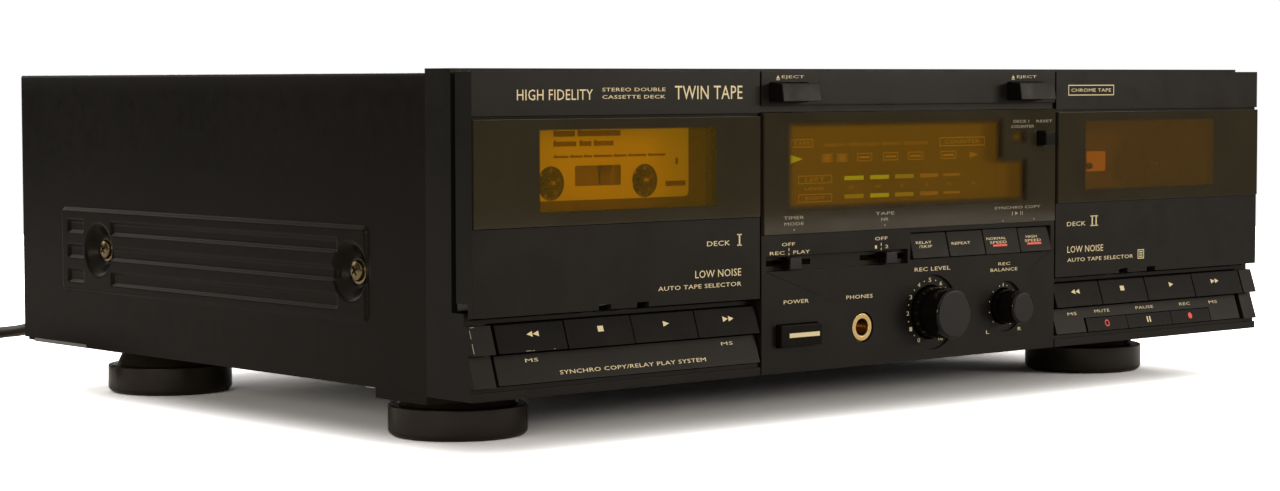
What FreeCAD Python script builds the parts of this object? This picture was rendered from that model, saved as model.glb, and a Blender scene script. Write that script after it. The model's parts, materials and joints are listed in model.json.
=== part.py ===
import FreeCAD, Part
import math
import os
import re
import Sketcher

"""Double cassette deck, full width, black.

Frame: millimetres, +Z up, +X to the right seen from the front, the front faces -Y.  The origin is
on the floor under the middle of the deck's box, cord left out.  Depths are given as "behind", the
distance behind the plane of the front panel, so Y = front_y + behind.
"""

DIMENSIONS = {
    # overall
    "front_y": -146.5,          # Y of the front panel's plane
    "half_width": 210.0,
    "bezel_front": 11.3,        # behind the front plane: front edge of the frame behind the doors
    "bezel_back": 25.3,
    "cover_back": 299.1,
    "cover_top": 127.5,
    "cover_base": 20.0,
    "cover_sheet": 1.0,
    "bezel_top": 129.0,
    "panel_base": 19.2,
    "plastic": 2.5,             # wall of the plastic mouldings
    # front rows, heights above the floor
    "strip_top": 22.1,
    "groove_top": 23.6,
    "low_row_base": 24.1,
    "low_row_top": 33.8,
    "high_row_base": 34.6,
    "high_row_top": 44.1,
    "shelf_base": 44.4,
    "shelf_top": 46.0,
    "ledge_top": 48.3,
    "row_lip": 0.7,             # the lower edge of a row stands this far in front of the plane
    "row_lean": 2.5,            # the upper edge lies this far behind the plane
    "key_back": 10.0,
    "key_travel_room": 15.0,
    # doors
    "door_inner": 80.4,
    "door_base": 46.8,
    "door_top": 128.0,
    "door_skirt": 8.8,
    "skirt_base": 51.5,
    "pane_base": 76.2,
    "pane_top": 112.1,
    "pane_proud": 0.87,
    "pane_seat": 1.5,
    "view_inner": 99.0,
    "view_outer": 181.0,
    "view_base": 81.0,
    "view_top": 109.0,
    "hinge_behind": 5.0,
    "hinge_height": 50.0,
    "hinge_radius": 1.5,
    "hinge_bore": 1.55,
    # cassette and its drive
    "first_tape_x": -144.0,     # middle of the cassette in deck one
    "second_tape_x": 138.0,     # and in deck two
    "tape_front": 12.4,
    "tape_back": 24.4,
    "tape_base": 55.9,
    "tape_top": 119.7,
    "tape_half": 50.2,
    "hub_height": 89.8,
    "hub_half_pitch": 21.25,
    "plate_front": 27.0,
    "plate_back": 28.5,
    "capstan_offset": 21.0,
    "capstan_height": 61.0,
    # centre panel
    "centre_half": 79.6,
    "window_half": 79.0,
    "window_base": 69.4,
    "window_top": 113.2,
    "panel_plate": 3.0,
    "level_x": 9.5,
    "balance_x": 51.0,
    "dial_height": 37.0,
    "phones_x": -28.0,
    "phones_height": 33.5,
    # feet
    "foot_radius": 24.75,
    "foot_x": 169.9,
    "front_foot": 60.8,
    "rear_foot": 252.8,
    "chassis_base": 20.0,
    "chassis_top": 21.2,
    # cord
    "cord_radius": 2.5,
    "cord_x": -170.0,
    "cord_height": 27.0,
    "relief_end": 330.0,
    "coil_x": -212.0,
    "coil_behind": 402.0,
    "coil_radius": 30.0,        # middle of the turns
    "coil_turns_wide": 3.0,
    "coil_turns_high": 3.0,
}

doc = FreeCAD.newDocument("CassetteDeck")
sheet = doc.addObject("Spreadsheet::Sheet", "Dims")
for row, (alias, value) in enumerate(DIMENSIONS.items(), start=1):
    sheet.set("A%d" % row, alias)
    sheet.set("B%d" % row, str(value))
    sheet.setAlias("B%d" % row, alias)
doc.recompute()

parts = []


def read(name):
    """The value of a driving dimension."""
    return float(getattr(sheet, name))


def formula(value):
    """A number or a line of dimension names as an expression on the sheet."""
    text = "%s" % value
    return re.sub(r"[a-z_]{4,}", lambda word: "Dims." + word.group(0), text)


def bind(item, **sizes):
    for name, value in sizes.items():
        item.setExpression(name.replace("__", "."), formula(value))


def place(item, x, behind, height):
    bind(item, Placement__Base__x=x, Placement__Base__y="front_y + (%s)" % behind,
         Placement__Base__z=height)


def block(x, behind, height):
    """A box between three pairs of limits: across, behind the front plane, above the floor."""
    item = doc.addObject("Part::Box", "Block")
    bind(item, Length="(%s) - (%s)" % (x[1], x[0]), Width="(%s) - (%s)" % (behind[1], behind[0]),
         Height="(%s) - (%s)" % (height[1], height[0]))
    place(item, x[0], behind[0], height[0])
    return item


AXIS_TURN = {
    "x": FreeCAD.Rotation(FreeCAD.Vector(0, 1, 0), 90),
    "y": FreeCAD.Rotation(FreeCAD.Vector(1, 0, 0), -90),
    "z": FreeCAD.Rotation(),
}


def rod(axis, radius, length, x, behind, height):
    """A cylinder that starts at the given point and runs along +X, +Y (backwards) or +Z."""
    item = doc.addObject("Part::Cylinder", "Rod")
    item.Placement = FreeCAD.Placement(FreeCAD.Vector(), AXIS_TURN[axis])
    bind(item, Radius=radius, Height=length)
    place(item, x, behind, height)
    return item


def taper(axis, first_radius, last_radius, length, x, behind, height):
    """A cone that starts at the given point and runs along +X, +Y (backwards) or +Z."""
    item = doc.addObject("Part::Cone", "Taper")
    item.Placement = FreeCAD.Placement(FreeCAD.Vector(), AXIS_TURN[axis])
    bind(item, Radius1=first_radius, Radius2=last_radius, Height=length)
    place(item, x, behind, height)
    return item


def union(*pieces):
    if len(pieces) == 1:
        return pieces[0]
    item = doc.addObject("Part::MultiFuse", "Union")
    item.Shapes = list(pieces)
    return item


def minus(base, *tools):
    item = doc.addObject("Part::Cut", "Minus")
    item.Base = base
    item.Tool = union(*tools)
    return item


def origin_plane(body, role):
    for feature in body.Origin.OriginFeatures:
        if feature.Role == role:
            return feature
    raise ValueError(role)


def polygon_sketch(body, plane, points):
    """A closed outline on one of the body's planes, every corner bound to the sheet."""
    sketch = body.newObject("Sketcher::SketchObject", "Outline")
    sketch.AttachmentSupport = [(origin_plane(body, plane), "")]
    sketch.MapMode = "FlatFace"
    values = [(evaluate(first), evaluate(second)) for first, second in points]
    count = len(points)
    for index in range(count):
        start = FreeCAD.Vector(values[index][0], values[index][1], 0)
        end = FreeCAD.Vector(values[(index + 1) % count][0], values[(index + 1) % count][1], 0)
        sketch.addGeometry(Part.LineSegment(start, end), False)
    for index in range(count):
        sketch.addConstraint(Sketcher.Constraint("Coincident", index, 2, (index + 1) % count, 1))
    for index in range(count):
        for kind, position, formula_text in (("DistanceX", 0, points[index][0]),
                                             ("DistanceY", 1, points[index][1])):
            number = sketch.addConstraint(
                Sketcher.Constraint(kind, -1, 1, index, 1, values[index][position]))
            sketch.setExpression("Constraints[%d]" % number, formula(formula_text))
    return sketch


def evaluate(value):
    """The present value of a formula in dimension names."""
    text = re.sub(r"[a-z_]{4,}", lambda word: "(%r)" % read(word.group(0)), "%s" % value)
    return float(sheet.evalExpression(text))


def profile(points, x):
    """A moulding of constant section: points are (behind, height), x the two ends across."""
    body = doc.addObject("PartDesign::Body", "Moulding")
    sketch = polygon_sketch(body, "YZ_Plane", points)
    pad = body.newObject("PartDesign::Pad", "Pad")
    pad.Profile = sketch
    bind(pad, Length="(%s) - (%s)" % (x[1], x[0]))
    body.Tip = pad
    place(body, x[0], 0, 0)
    return body


def turned(points, x, behind, height):
    """A turned piece: points are (distance behind, radius), its axis runs backwards."""
    body = doc.addObject("PartDesign::Body", "Turning")
    sketch = polygon_sketch(body, "XY_Plane", [(radius, depth) for depth, radius in points])
    revolution = body.newObject("PartDesign::Revolution", "Revolution")
    revolution.Profile = sketch
    revolution.ReferenceAxis = (origin_plane(body, "Y_Axis"), [""])
    revolution.Angle = 360
    body.Tip = revolution
    place(body, x, behind, height)
    return body


def both(side, near, far):
    """Limits across for the left (-1) or right (+1) half of the deck, in rising order."""
    if side < 0:
        return "-(%s)" % far, "-(%s)" % near
    return near, far


def keep(node, item):
    """Name the finished piece; its label names its file."""
    item.Label = node
    parts.append((node, item))
    return item


# ---------------------------------------------------------------- front mouldings

def low_row_face(height):
    """How far behind the front plane the lower row's face lies at a height."""
    share = "((%s) - low_row_base) / (low_row_top - low_row_base)" % height
    return "-row_lip + (row_lip + row_lean) * %s" % share


def low_row(x, base="low_row_base", back="key_back"):
    """The lower row's section: its face leans back towards the top."""
    return profile([("row_lean", "low_row_top"), (low_row_face(base), base), (back, base),
                    (back, "low_row_top")], x)


def high_row(x, back="key_back"):
    return profile([("row_lean", "high_row_top"), ("-row_lip", "high_row_base"),
                    (back, "high_row_base"), (back, "high_row_top")], x)


KEY_EDGES = {-1: [-199.5, -169.6, -139.9, -110.4, -80.9], 1: [80.9, 109.2, 138.2, 169.2, 201.0]}
KEY_NAMES = ["rewind", "stop", "play", "fast_forward"]
KEY_GAP = 0.2
TAPE_X = {-1: "first_tape_x", 1: "second_tape_x"}
WELL_HALF = 55.5
DOOR_NOTCHES = {-1: (-153.1, -135.9), 1: (122.4, 140.0)}
SMALL_EDGES = [100.0, 125.4, 153.8, 179.4]
SMALL_NAMES = ["record_mute", "pause", "record"]
SMALL_TOP = 29.3
CENTRE_EDGES = [-2.2, 18.2, 38.7, 58.7, 77.2]
CENTRE_NAMES = ["relay_skip", "repeat", "copy_normal", "copy_high"]
CENTRE_KEY_BASE = 57.7
CENTRE_KEY_TOP = 67.3
KEY_STEM = 2.0
KEY_GUIDE = 2.3
STEM_END = 19.0
HIGH_STEM_HEIGHT = 39.4
LOW_STEM_HEIGHT = 27.2


def middle(low, high):
    return (low + high) / 2.0


def around(side, half, offset=0):
    """Limits across, centred on the cassette of one side."""
    return ("%s + (%s) - (%s)" % (TAPE_X[side], offset, half),
            "%s + (%s) + (%s)" % (TAPE_X[side], offset, half))


def front_bezel():
    """The one-piece plastic frame that carries doors, keys and centre panel."""
    wall_inside = "half_width - plastic"
    solid = [
        block(("-half_width", "half_width"), (3.2, "bezel_back"), ("panel_base", "strip_top")),
        block(("-half_width", "half_width"), ("bezel_front", "bezel_back"), (126.6, "bezel_top")),
        block(("-(%s)" % wall_inside, wall_inside), (22.8, "bezel_back"), ("strip_top", 126.6)),
    ]
    holes = [block((-76, 76), (20, 30), (24, 125))]
    for side in (-1, 1):
        outer = both(side, wall_inside, "half_width")
        flank = both(side, "centre_half + 0.6", "half_width")
        inside = both(side, "centre_half + 0.6", wall_inside)
        solid.append(block(flank, (0, 3.2), ("panel_base", "strip_top")))
        solid.append(block(flank, (1.1, "bezel_back"), ("strip_top", "groove_top")))
        solid.append(block(outer, ("bezel_front", "bezel_back"), ("groove_top", 126.6)))
        solid.append(block(outer, (4.8, "bezel_front"), ("shelf_base", "ledge_top")))
        solid.append(block(inside, (4.8, 22.8), ("shelf_base", "shelf_top")))
        solid.append(block(inside, ("key_travel_room", "key_travel_room + 2"),
                           ("groove_top", "shelf_base")))
        filler_near = 200.7 if side < 0 else 201.6
        filler = both(side, filler_near, "half_width")
        solid.append(low_row(filler, "groove_top", "bezel_front"))
        solid.append(high_row(filler, "bezel_front"))
        solid.append(block(filler, ("row_lean", "bezel_front"), ("low_row_top", "high_row_base")))
        solid.append(block(filler, (4.8, "bezel_front"), ("high_row_top", "shelf_base")))
        holes.append(block(around(side, WELL_HALF), (20, 30), (46.4, 124)))
        # the pivots of the door
        for near in (87, 199):
            ear = both(side, near, near + 3)
            ear_start = ear[0]
            solid.append(rod("x", 2.3, 3, ear_start, "hinge_behind", "hinge_height"))
            solid.append(block(ear, ("hinge_behind", 9), ("shelf_base + 1", 52.3)))
            holes.append(rod("x", "hinge_bore", 5, "%s - 1" % ear_start, "hinge_behind",
                             "hinge_height"))
        for low, high in zip(KEY_EDGES[side][:-1], KEY_EDGES[side][1:]):
            holes.append(rod("y", KEY_GUIDE, 6, middle(low, high), 13, HIGH_STEM_HEIGHT))
    # the fixed fascia beside and around the small keys of the lower row
    solid.append(low_row((-199.5, -80.9), back="key_travel_room"))
    solid.append(low_row((80.9, 198.8), back="key_travel_room"))
    holes.append(block((SMALL_EDGES[0] - 0.9, SMALL_EDGES[-1] + 0.2), (-3, 14.9),
                       ("low_row_base - 0.1", SMALL_TOP + 0.3)))
    for low, high in zip(SMALL_EDGES[:-1], SMALL_EDGES[1:]):
        holes.append(rod("y", KEY_GUIDE, 6, middle(low, high), 13, LOW_STEM_HEIGHT))
    keep("front_bezel", minus(union(*solid), *holes))


def key(node, x, section, stem_height, stem_end=STEM_END):
    """A key: a cap of the row's section on a round stem."""
    low, high = x
    cap = section((low + KEY_GAP, high - KEY_GAP))
    stem = rod("y", KEY_STEM, stem_end - 9, middle(low, high), 9, stem_height)
    keep(node, union(cap, stem))


def small_section(x):
    return profile([(low_row_face(SMALL_TOP), SMALL_TOP), ("-row_lip", "low_row_base"),
                    ("key_back", "low_row_base"), ("key_back", SMALL_TOP)], x)


def centre_section(x):
    return profile([(1.4, CENTRE_KEY_TOP), (-1.1, CENTRE_KEY_BASE), (10, CENTRE_KEY_BASE),
                    (10, CENTRE_KEY_TOP)], x)


def keys():
    for deck, side in ((1, -1), (2, 1)):
        for index, name in enumerate(KEY_NAMES):
            edges = KEY_EDGES[side][index], KEY_EDGES[side][index + 1]
            key("%s_key_%d" % (name, deck), edges, high_row, HIGH_STEM_HEIGHT)
    for index, name in enumerate(SMALL_NAMES):
        key("%s_key" % name, (SMALL_EDGES[index], SMALL_EDGES[index + 1]), small_section,
            LOW_STEM_HEIGHT)
    for index, name in enumerate(CENTRE_NAMES):
        key("%s_key" % name, (CENTRE_EDGES[index], CENTRE_EDGES[index + 1]), centre_section,
            middle(CENTRE_KEY_BASE, CENTRE_KEY_TOP))


# ---------------------------------------------------------------- centre panel and controls

EJECT = {1: (-75.5, -56.5), 2: (51.7, 72.0)}
EJECT_HEIGHT = (117.2, 123.8)
SLIDERS = {"timer_slider": -65.3, "filter_slider": -15.6}
RESET = (68.2, 73.8)
RESET_HEIGHT = (99.4, 104.6)
POWER = (-72.1, -51.6)
POWER_HEIGHT = (28.8, 36.7)


def grown(limits, by):
    return limits[0] - by, limits[1] + by


def dial_cup(x, mouth, well_radius, step, depth):
    """The seat of a knob: a cup behind the plate, and to cut from it a shallow flat dish that
    carries the scale, a well for the knob and the shaft hole."""
    cup = rod("y", mouth + 0.5, depth + 2, x, 0, "dial_height")
    dish = taper("y", mouth, mouth - 0.25, step, x, 0, "dial_height")
    well = rod("y", well_radius, depth - step + 0.2, x, step - 0.2, "dial_height")
    shaft = rod("y", 3.6, 10, x, depth - 1, "dial_height")
    return cup, [dish, well, shaft]


def centre_panel():
    level_cup, level_cuts = dial_cup("level_x", 14.3, 10.4, 1.2, 5.6)
    balance_cup, balance_cuts = dial_cup("balance_x", 9.9, 7.2, 1.2, 4.0)
    solid = [
        block(("-centre_half", "centre_half"), (0, "panel_plate"), ("panel_base", "door_top")),
        block(("-centre_half", "centre_half"), (0, 10.9), (126, "door_top")),
        level_cup, balance_cup,
    ]
    for side in (-1, 1):
        solid.append(block(both(side, "centre_half - 2", "centre_half"), (0, 22.8),
                           ("groove_top", 126)))
    cuts = level_cuts + balance_cuts + [
        block((-90, 90), (-1, 1.1), (113.4, 115.9)),
        block(("-(window_half + 0.1)", "window_half + 0.1"), (-1, 2.2),
              ("window_base - 0.1", "window_top + 0.1")),
        block((-68, 64), (2, 5), (76, 111)),
        block((-77.4, -4), (-1, 2), (56.2, 61.6)),
        block((CENTRE_EDGES[0] - 0.3, CENTRE_EDGES[-1] + 0.2), (-1, 5), (57.4, 67.6)),
        block(grown(POWER, 0.3), (-1, 5), grown(POWER_HEIGHT, 0.3)),
        block(grown(RESET, 0.3), (-1, 5), grown(RESET_HEIGHT, 0.3)),
        rod("y", 5.7, 5, "phones_x", -1, "phones_height"),
    ]
    for limits in EJECT.values():
        cuts.append(block(grown(limits, 0.3), (-1, 5), grown(EJECT_HEIGHT, 0.3)))
    for middle_x in SLIDERS.values():
        cuts.append(block((middle_x - 12, middle_x + 12), (1, 5), (58, 60)))
    keep("centre_panel", minus(union(*solid), *cuts))


def display():
    window = block(("-window_half", "window_half"), ("-pane_proud", 2.2),
                   ("window_base", "window_top"))
    keep("display_window", minus(window, block(grown(RESET, 0.3), (-3, 5),
                                               grown(RESET_HEIGHT, 0.3))))
    tube = block((-66, 62), (4.5, 11), (77.5, 110))
    base = block((-60, 56), (11, 14), (81, 106))
    keep("display_tube", union(tube, base))


def buttons():
    for deck, (low, high) in EJECT.items():
        bottom, top = EJECT_HEIGHT
        cap = profile([(-6.2, top), (-7.2, bottom), (12, bottom), (12, top)], (low, high))
        keep("eject_button_%d" % deck, cap)
    for node, x in SLIDERS.items():
        grip = block((x - 3, x + 3), (-3, 1.7), (56.7, 61.1))
        neck = block((x - 1.6, x + 1.6), (1.7, 8), (58.3, 59.7))
        keep(node, union(grip, neck))
    bottom, top = POWER_HEIGHT
    keep("power_button", block(POWER, (-2.6, 14), (bottom, top)))
    keep("counter_reset_button", block(RESET, (-5.4, 8), RESET_HEIGHT))


def knobs():
    """Two turned knobs; the front edge of each is chamfered, its shaft runs into the control."""
    level = turned([(-11.6, 0), (-11.6, 8.75), (-11, 9.35), (4.9, 9.85), (4.9, 3), (12, 3), (12, 0)],
                   "level_x", 0, "dial_height")
    keep("level_knob", level)
    balance = turned([(-9.4, 0), (-9.4, 5.6), (-8.8, 6.2), (3.4, 6.7), (3.4, 3), (12, 3), (12, 0)],
                     "balance_x", 0, "dial_height")
    keep("balance_knob", balance)


def controls():
    """The parts behind the panel that the knobs, the power button and a headphone plug work."""
    pots = []
    for x, front in (("level_x", 7.6), ("balance_x", 6.0)):
        can = rod("y", 8.4, 20 - front, x, front, "dial_height")
        bore = rod("y", 3.05, 7, x, front - 1, "dial_height")
        pots.append(minus(can, bore))
    keep("potentiometers", union(*pots))
    switch = block((-71, -52.6), (17.4, 22), (27, 38))
    keep("power_switch", union(switch, block((-68, -56), (22, 25.3), (29, 36))))
    barrel = rod("y", 5.1, 3, "phones_x", 0.3, "phones_height")
    housing = block(("phones_x - 7.5", "phones_x + 7.5"), ("panel_plate", 21),
                    ("phones_height - 7.5", "phones_height + 7.5"))
    socket = rod("y", 3.2, 15, "phones_x", 0, "phones_height")
    keep("phones_jack", minus(union(barrel, housing), socket))


# ---------------------------------------------------------------- doors and cassettes

def door(deck, side):
    """A hinged door: skin with skirts, seated pane and the holder that carries the cassette."""
    across = both(side, "door_inner", "half_width")
    skin = [
        block(across, (0, "plastic"), ("door_base", "door_top")),
        block(across, (0, "door_skirt"), ("door_top - 2", "door_top")),
        block(both(side, "door_inner", "door_inner + 2"), (0, "door_skirt"),
              ("skirt_base", "door_top")),
        block(both(side, "half_width - 2", "half_width"), (0, "door_skirt"),
              ("skirt_base", "door_top")),
    ]
    for near, pin_near in ((83, 83), (203, 198)):
        skin.append(block(both(side, near, near + 3), (2, 7), ("skirt_base - 4", "skirt_base + 2")))
        pin_low = both(side, pin_near, pin_near + 8)[0]
        skin.append(rod("x", "hinge_radius", 8, pin_low, "hinge_behind", "hinge_height"))
    cuts = [
        block(both(side, 60, 230), (-1, 1.1), ("pane_top", "pane_top + 1")),
        block(both(side, "door_inner + 0.4", "half_width - 0.4"), (-1, "pane_seat"),
              ("pane_base - 0.2", "pane_top + 0.2")),
        block(both(side, "view_inner", "view_outer"), (0, 5), ("view_base", "view_top")),
    ]
    for x in DOOR_NOTCHES[side]:
        cuts.append(block((x - 2.7, x + 2.7), (-1, 5), ("door_base - 1", "door_base + 1.8")))
    keep("door_panel_%d" % deck, minus(union(*skin), *cuts))
    keep("door_window_%d" % deck,
         block(both(side, "door_inner + 0.5", "half_width - 0.5"), ("-pane_proud", "pane_seat"),
               ("pane_base", "pane_top")))
    holder = []
    for end in (-1, 1):
        holder.append(block(around(side, 1, 52 * end), ("plastic", 24.6), (54, 116)))
        holder.append(block(around(side, 10.5, 42.5 * end), (10.4, 24.6), (53.6, "tape_base - 0.2")))
        holder.append(block(around(side, 10.5, 42.5 * end), (10.4, "tape_front - 0.3"), (54, 70)))
    holder.append(block(around(side, 52), ("plastic", 4.5), (70, 74)))
    keep("cassette_holder_%d" % deck, union(*holder))


def cassette():
    """The cassette in deck one: a hollow shell, thicker along its lower edge, and two reels."""
    body = block(around(-1, "tape_half"), ("tape_front + 1.65", "tape_back - 1.65"),
                 ("tape_base", "tape_top"))
    thick = block(around(-1, 35), ("tape_front", "tape_back"), ("tape_base", "tape_base + 15.5"))
    cuts = [
        block(around(-1, "tape_half - 1.3"), ("tape_front + 3", "tape_back - 3"),
              ("tape_base + 8", "tape_top - 1.3")),
        block(around(-1, 11.5), ("tape_front + 1", "tape_back - 1"),
              ("hub_height - 6", "hub_height + 6")),
    ]
    for offset in ("-hub_half_pitch", "hub_half_pitch"):
        cuts.append(rod("y", 5.8, 20, "first_tape_x + (%s)" % offset, 8, "hub_height"))
    for offset, half in ((0, 8.5), (-26, 4), ("capstan_offset", 4.5)):
        cuts.append(block(around(-1, half, offset), ("tape_front + 2.4", "tape_back + 1"),
                          ("tape_base - 1", "tape_base + 9.5")))
    keep("cassette_shell", minus(union(body, thick), *cuts))
    reels = []
    for offset, pack in (("-hub_half_pitch", 22.8), ("hub_half_pitch", 14.5)):
        hub_x = "first_tape_x + (%s)" % offset
        reels.append(minus(rod("y", pack, 5.4, hub_x, "tape_front + 3.3", "hub_height"),
                           rod("y", 5.3, 12, hub_x, "tape_front", "hub_height")))
    keep("tape_reels", union(*reels))


def spindle(node, x):
    """A reel spindle: driving tip, reel table, axle and the driven wheel behind the plate."""
    outline = [(18.2, 0), (18.2, 1.6), (20, 2.8), (25, 2.8), (25, 9.5), (26.4, 9.5), (26.4, 1.5),
               (30, 1.5), (30, 8), (32, 8), (32, 0)]
    keep(node, turned(outline, x, 0, "hub_height"))


def drive(side):
    """The fixed pieces of one mechanism: its plate, its head block and its motor."""
    middle_x = TAPE_X[side]
    holes = []
    for offset in ("-hub_half_pitch", "hub_half_pitch"):
        holes.append(rod("y", 1.55, 6, "%s + (%s)" % (middle_x, offset), 25, "hub_height"))
    holes.append(rod("y", 1.3, 6, "%s + capstan_offset" % middle_x, 25, "capstan_height"))
    plate = [block(around(side, 60), ("plate_front", "plate_back"), (47, 124))]
    for end in (-58.4, 58.4):
        for height in (56, 118):
            plate.append(rod("y", 1.4, 1.7, "%s + (%s)" % (middle_x, end), "bezel_back", height))
    head = union(block(around(side, 7), (14, 22), (47.5, 54.5)),
                 block(around(side, 12), (16, "plate_front"), (46.8, 48.6)))
    motor = union(rod("y", 16, 28, "%s - 30" % middle_x, 36, 68),
                  rod("y", 4, 5, "%s - 30" % middle_x, 31, 68),
                  rod("y", 2, 7.5, "%s - 42" % middle_x, "plate_back", 68),
                  rod("y", 2, 7.5, "%s - 18" % middle_x, "plate_back", 68))
    return minus(union(*plate), *holes), head, motor


def belt(middle_x):
    """A flat belt round the motor pulley and the flywheel, 0.3 clear of both."""
    first = FreeCAD.Vector(middle_x - 30, read("front_y") + 33.2, 68)
    second = FreeCAD.Vector(middle_x + read("capstan_offset"), first.y, read("capstan_height"))

    def loop(first_radius, second_radius):
        along = second - first
        distance = along.Length
        lean = math.acos((first_radius - second_radius) / distance)
        heading = math.atan2(along.z, along.x)

        def at(centre, radius, angle):
            return centre + FreeCAD.Vector(radius * math.cos(angle), 0, radius * math.sin(angle))

        upper = heading + lean
        lower = heading - lean
        a_top, b_top = at(first, first_radius, upper), at(second, second_radius, upper)
        a_low, b_low = at(first, first_radius, lower), at(second, second_radius, lower)
        far_a = at(first, first_radius, heading + math.pi)
        far_b = at(second, second_radius, heading)
        edges = [Part.LineSegment(a_top, b_top).toShape(), Part.Arc(b_top, far_b, b_low).toShape(),
                 Part.LineSegment(b_low, a_low).toShape(), Part.Arc(a_low, far_a, a_top).toShape()]
        face = Part.Face(Part.Wire(edges))
        return face.extrude(FreeCAD.Vector(0, 2.4, 0))

    item = doc.addObject("Part::Feature", "Belt")
    item.Shape = loop(5.1, 20.1).cut(loop(4.3, 19.3))
    return item


def mechanisms():
    plates, heads, motors, belts = [], [], [], []
    for deck, side in ((1, -1), (2, 1)):
        middle_x = TAPE_X[side]
        plate, head, motor = drive(side)
        plates.append(plate)
        heads.append(head)
        motors.append(motor)
        belts.append(belt(read(middle_x)))
        spindle("reel_spindle_%d_left" % deck, "%s - hub_half_pitch" % middle_x)
        spindle("reel_spindle_%d_right" % deck, "%s + hub_half_pitch" % middle_x)
        wheel = [(21.6, 0), (21.6, 1.25), (32.4, 1.25), (32.4, 19), (36.4, 19), (36.4, 20.5),
                 (42, 20.5), (42, 0)]
        keep("capstan_flywheel_%d" % deck,
             turned(wheel, "%s + capstan_offset" % middle_x, 0, "capstan_height"))
    keep("mechanism_plates", union(*plates))
    keep("tape_heads", union(*heads))
    keep("capstan_motors", union(*motors))
    keep("drive_belts", union(*belts))


# ---------------------------------------------------------------- case

SCREW_BEHIND = (68.0, 237.8)
SCREW_HEIGHT = 59.3
PLATEAU = (58.0, 267.0)
PLATEAU_HEIGHT = (42.0, 75.3)
RIB_TOPS = (71.2, 61.2, 51.2)
REAR_SCREWS = ((-196, 112), (-196, 46), (0, 120), (196, 112), (196, 46), (60, 30))


def top_cover():
    """The folded steel cover; each side has a raised panel with three grooves and two dimples."""
    outer = block(("-half_width", "half_width"), ("bezel_back", "cover_back"),
                  ("cover_base", "cover_top"))
    inner = block(("-half_width + cover_sheet", "half_width - cover_sheet"),
                  ("bezel_back - 1", "cover_back + 1"), ("cover_base - 1", "cover_top - cover_sheet"))
    solid = [minus(outer, inner)]
    cuts = []
    for side in (-1, 1):
        solid.append(block(both(side, "half_width", "half_width + 1"), PLATEAU, PLATEAU_HEIGHT))
        for top in RIB_TOPS:
            for start, end in ((76, 228), (249, 261.5)):
                groove = both(side, "half_width + 0.1", "half_width + 2")
                cuts.append(block(groove, (start, end), (top - 5.6, top)))
        for behind in SCREW_BEHIND:
            base_x = "-half_width - 1" if side < 0 else "half_width - 4.3"
            first, last = (11.3, 5.6) if side < 0 else (5.6, 11.3)
            solid.append(taper("x", first, last, 5.3, base_x, behind, SCREW_HEIGHT))
            first, last = (10.3, 4.6) if side < 0 else (4.6, 10.3)
            dish_x = "-half_width - 1" if side < 0 else "half_width - 3.3"
            cuts.append(taper("x", first, last, 4.3, dish_x, behind, SCREW_HEIGHT))
            cuts.append(rod("x", 2.1, 20, both(side, "half_width - 12", "half_width + 8")[0], behind,
                            SCREW_HEIGHT))
    cuts.append(block(("-half_width - 1", "half_width + 1"), (249.7, "cover_back + 1"),
                      ("cover_base - 1", "cover_base + 1.2")))
    keep("top_cover", minus(union(*solid), *cuts))


def bottom_chassis():
    floor_edge = "half_width - 1.2"
    solid = [block(("-(%s)" % floor_edge, floor_edge), ("bezel_back + 0.2", 296.8),
                   ("chassis_base", "chassis_top"))]
    cuts = []
    for side in (-1, 1):
        solid.append(block(both(side, "half_width - 2.4", floor_edge), ("bezel_back + 0.2", 296.8),
                           ("chassis_top", 32)))
        solid.append(block(both(side, 196, "half_width - 0.1"), ("bezel_back + 0.2", 55),
                           (16.4, "chassis_base")))
        for behind in SCREW_BEHIND:
            solid.append(block(both(side, 202.6, 204.6), (behind - 7, behind + 7),
                               ("chassis_top", 67)))
            solid.append(block(both(side, 202.6, floor_edge), (behind - 7, behind + 7),
                               ("chassis_top", 23)))
            cuts.append(rod("x", 1.95, 8, both(side, 199, 207)[0], behind, SCREW_HEIGHT))
    keep("bottom_chassis", minus(union(*solid), *cuts))


def rear_panel():
    plate = block(("-half_width + 1.2", "half_width - 1.2"), (296.8, 298), ("chassis_base", 126.3))
    cuts = [rod("y", 5.2, 6, "cord_x", 294, "cord_height"),
            block((121.8, 164.2), (294, 300), (87.8, 112.2))]
    for x, height in REAR_SCREWS:
        cuts.append(rod("y", 1.6, 6, x, 294, height))
    keep("rear_panel", minus(plate, *cuts))


JACK_X = (134.0, 152.0)
JACK_HEIGHT = (92.5, 107.5)


def line_jacks():
    """Four coaxial sockets on one block: line in and line out, left and right."""
    solid = [block((122, 164), (286, 298), (88, 112)), block((119, 167), (298, 299.6), (85, 115))]
    cuts = []
    for x in JACK_X:
        for height in JACK_HEIGHT:
            solid.append(rod("y", 4.15, 7, x, 299, height))
            cuts.append(rod("y", 1.7, 12, x, 298, height))
    keep("line_jacks", minus(union(*solid), *cuts))


def case_screws():
    screws = []
    for side in (-1, 1):
        for behind in SCREW_BEHIND:
            head = both(side, "half_width - 3.3", "half_width - 1.1")[0]
            shank = both(side, 200, "half_width - 3.3")[0]
            screws.append(union(rod("x", 3.9, 2.2, head, behind, SCREW_HEIGHT),
                                rod("x", 1.9, 6.7, shank, behind, SCREW_HEIGHT)))
    for x, height in REAR_SCREWS:
        screws.append(union(rod("y", 3, 1.8, x, 298, height), rod("y", 1.5, 7, x, 291, height)))
    keep("case_screws", union(*screws))


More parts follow.
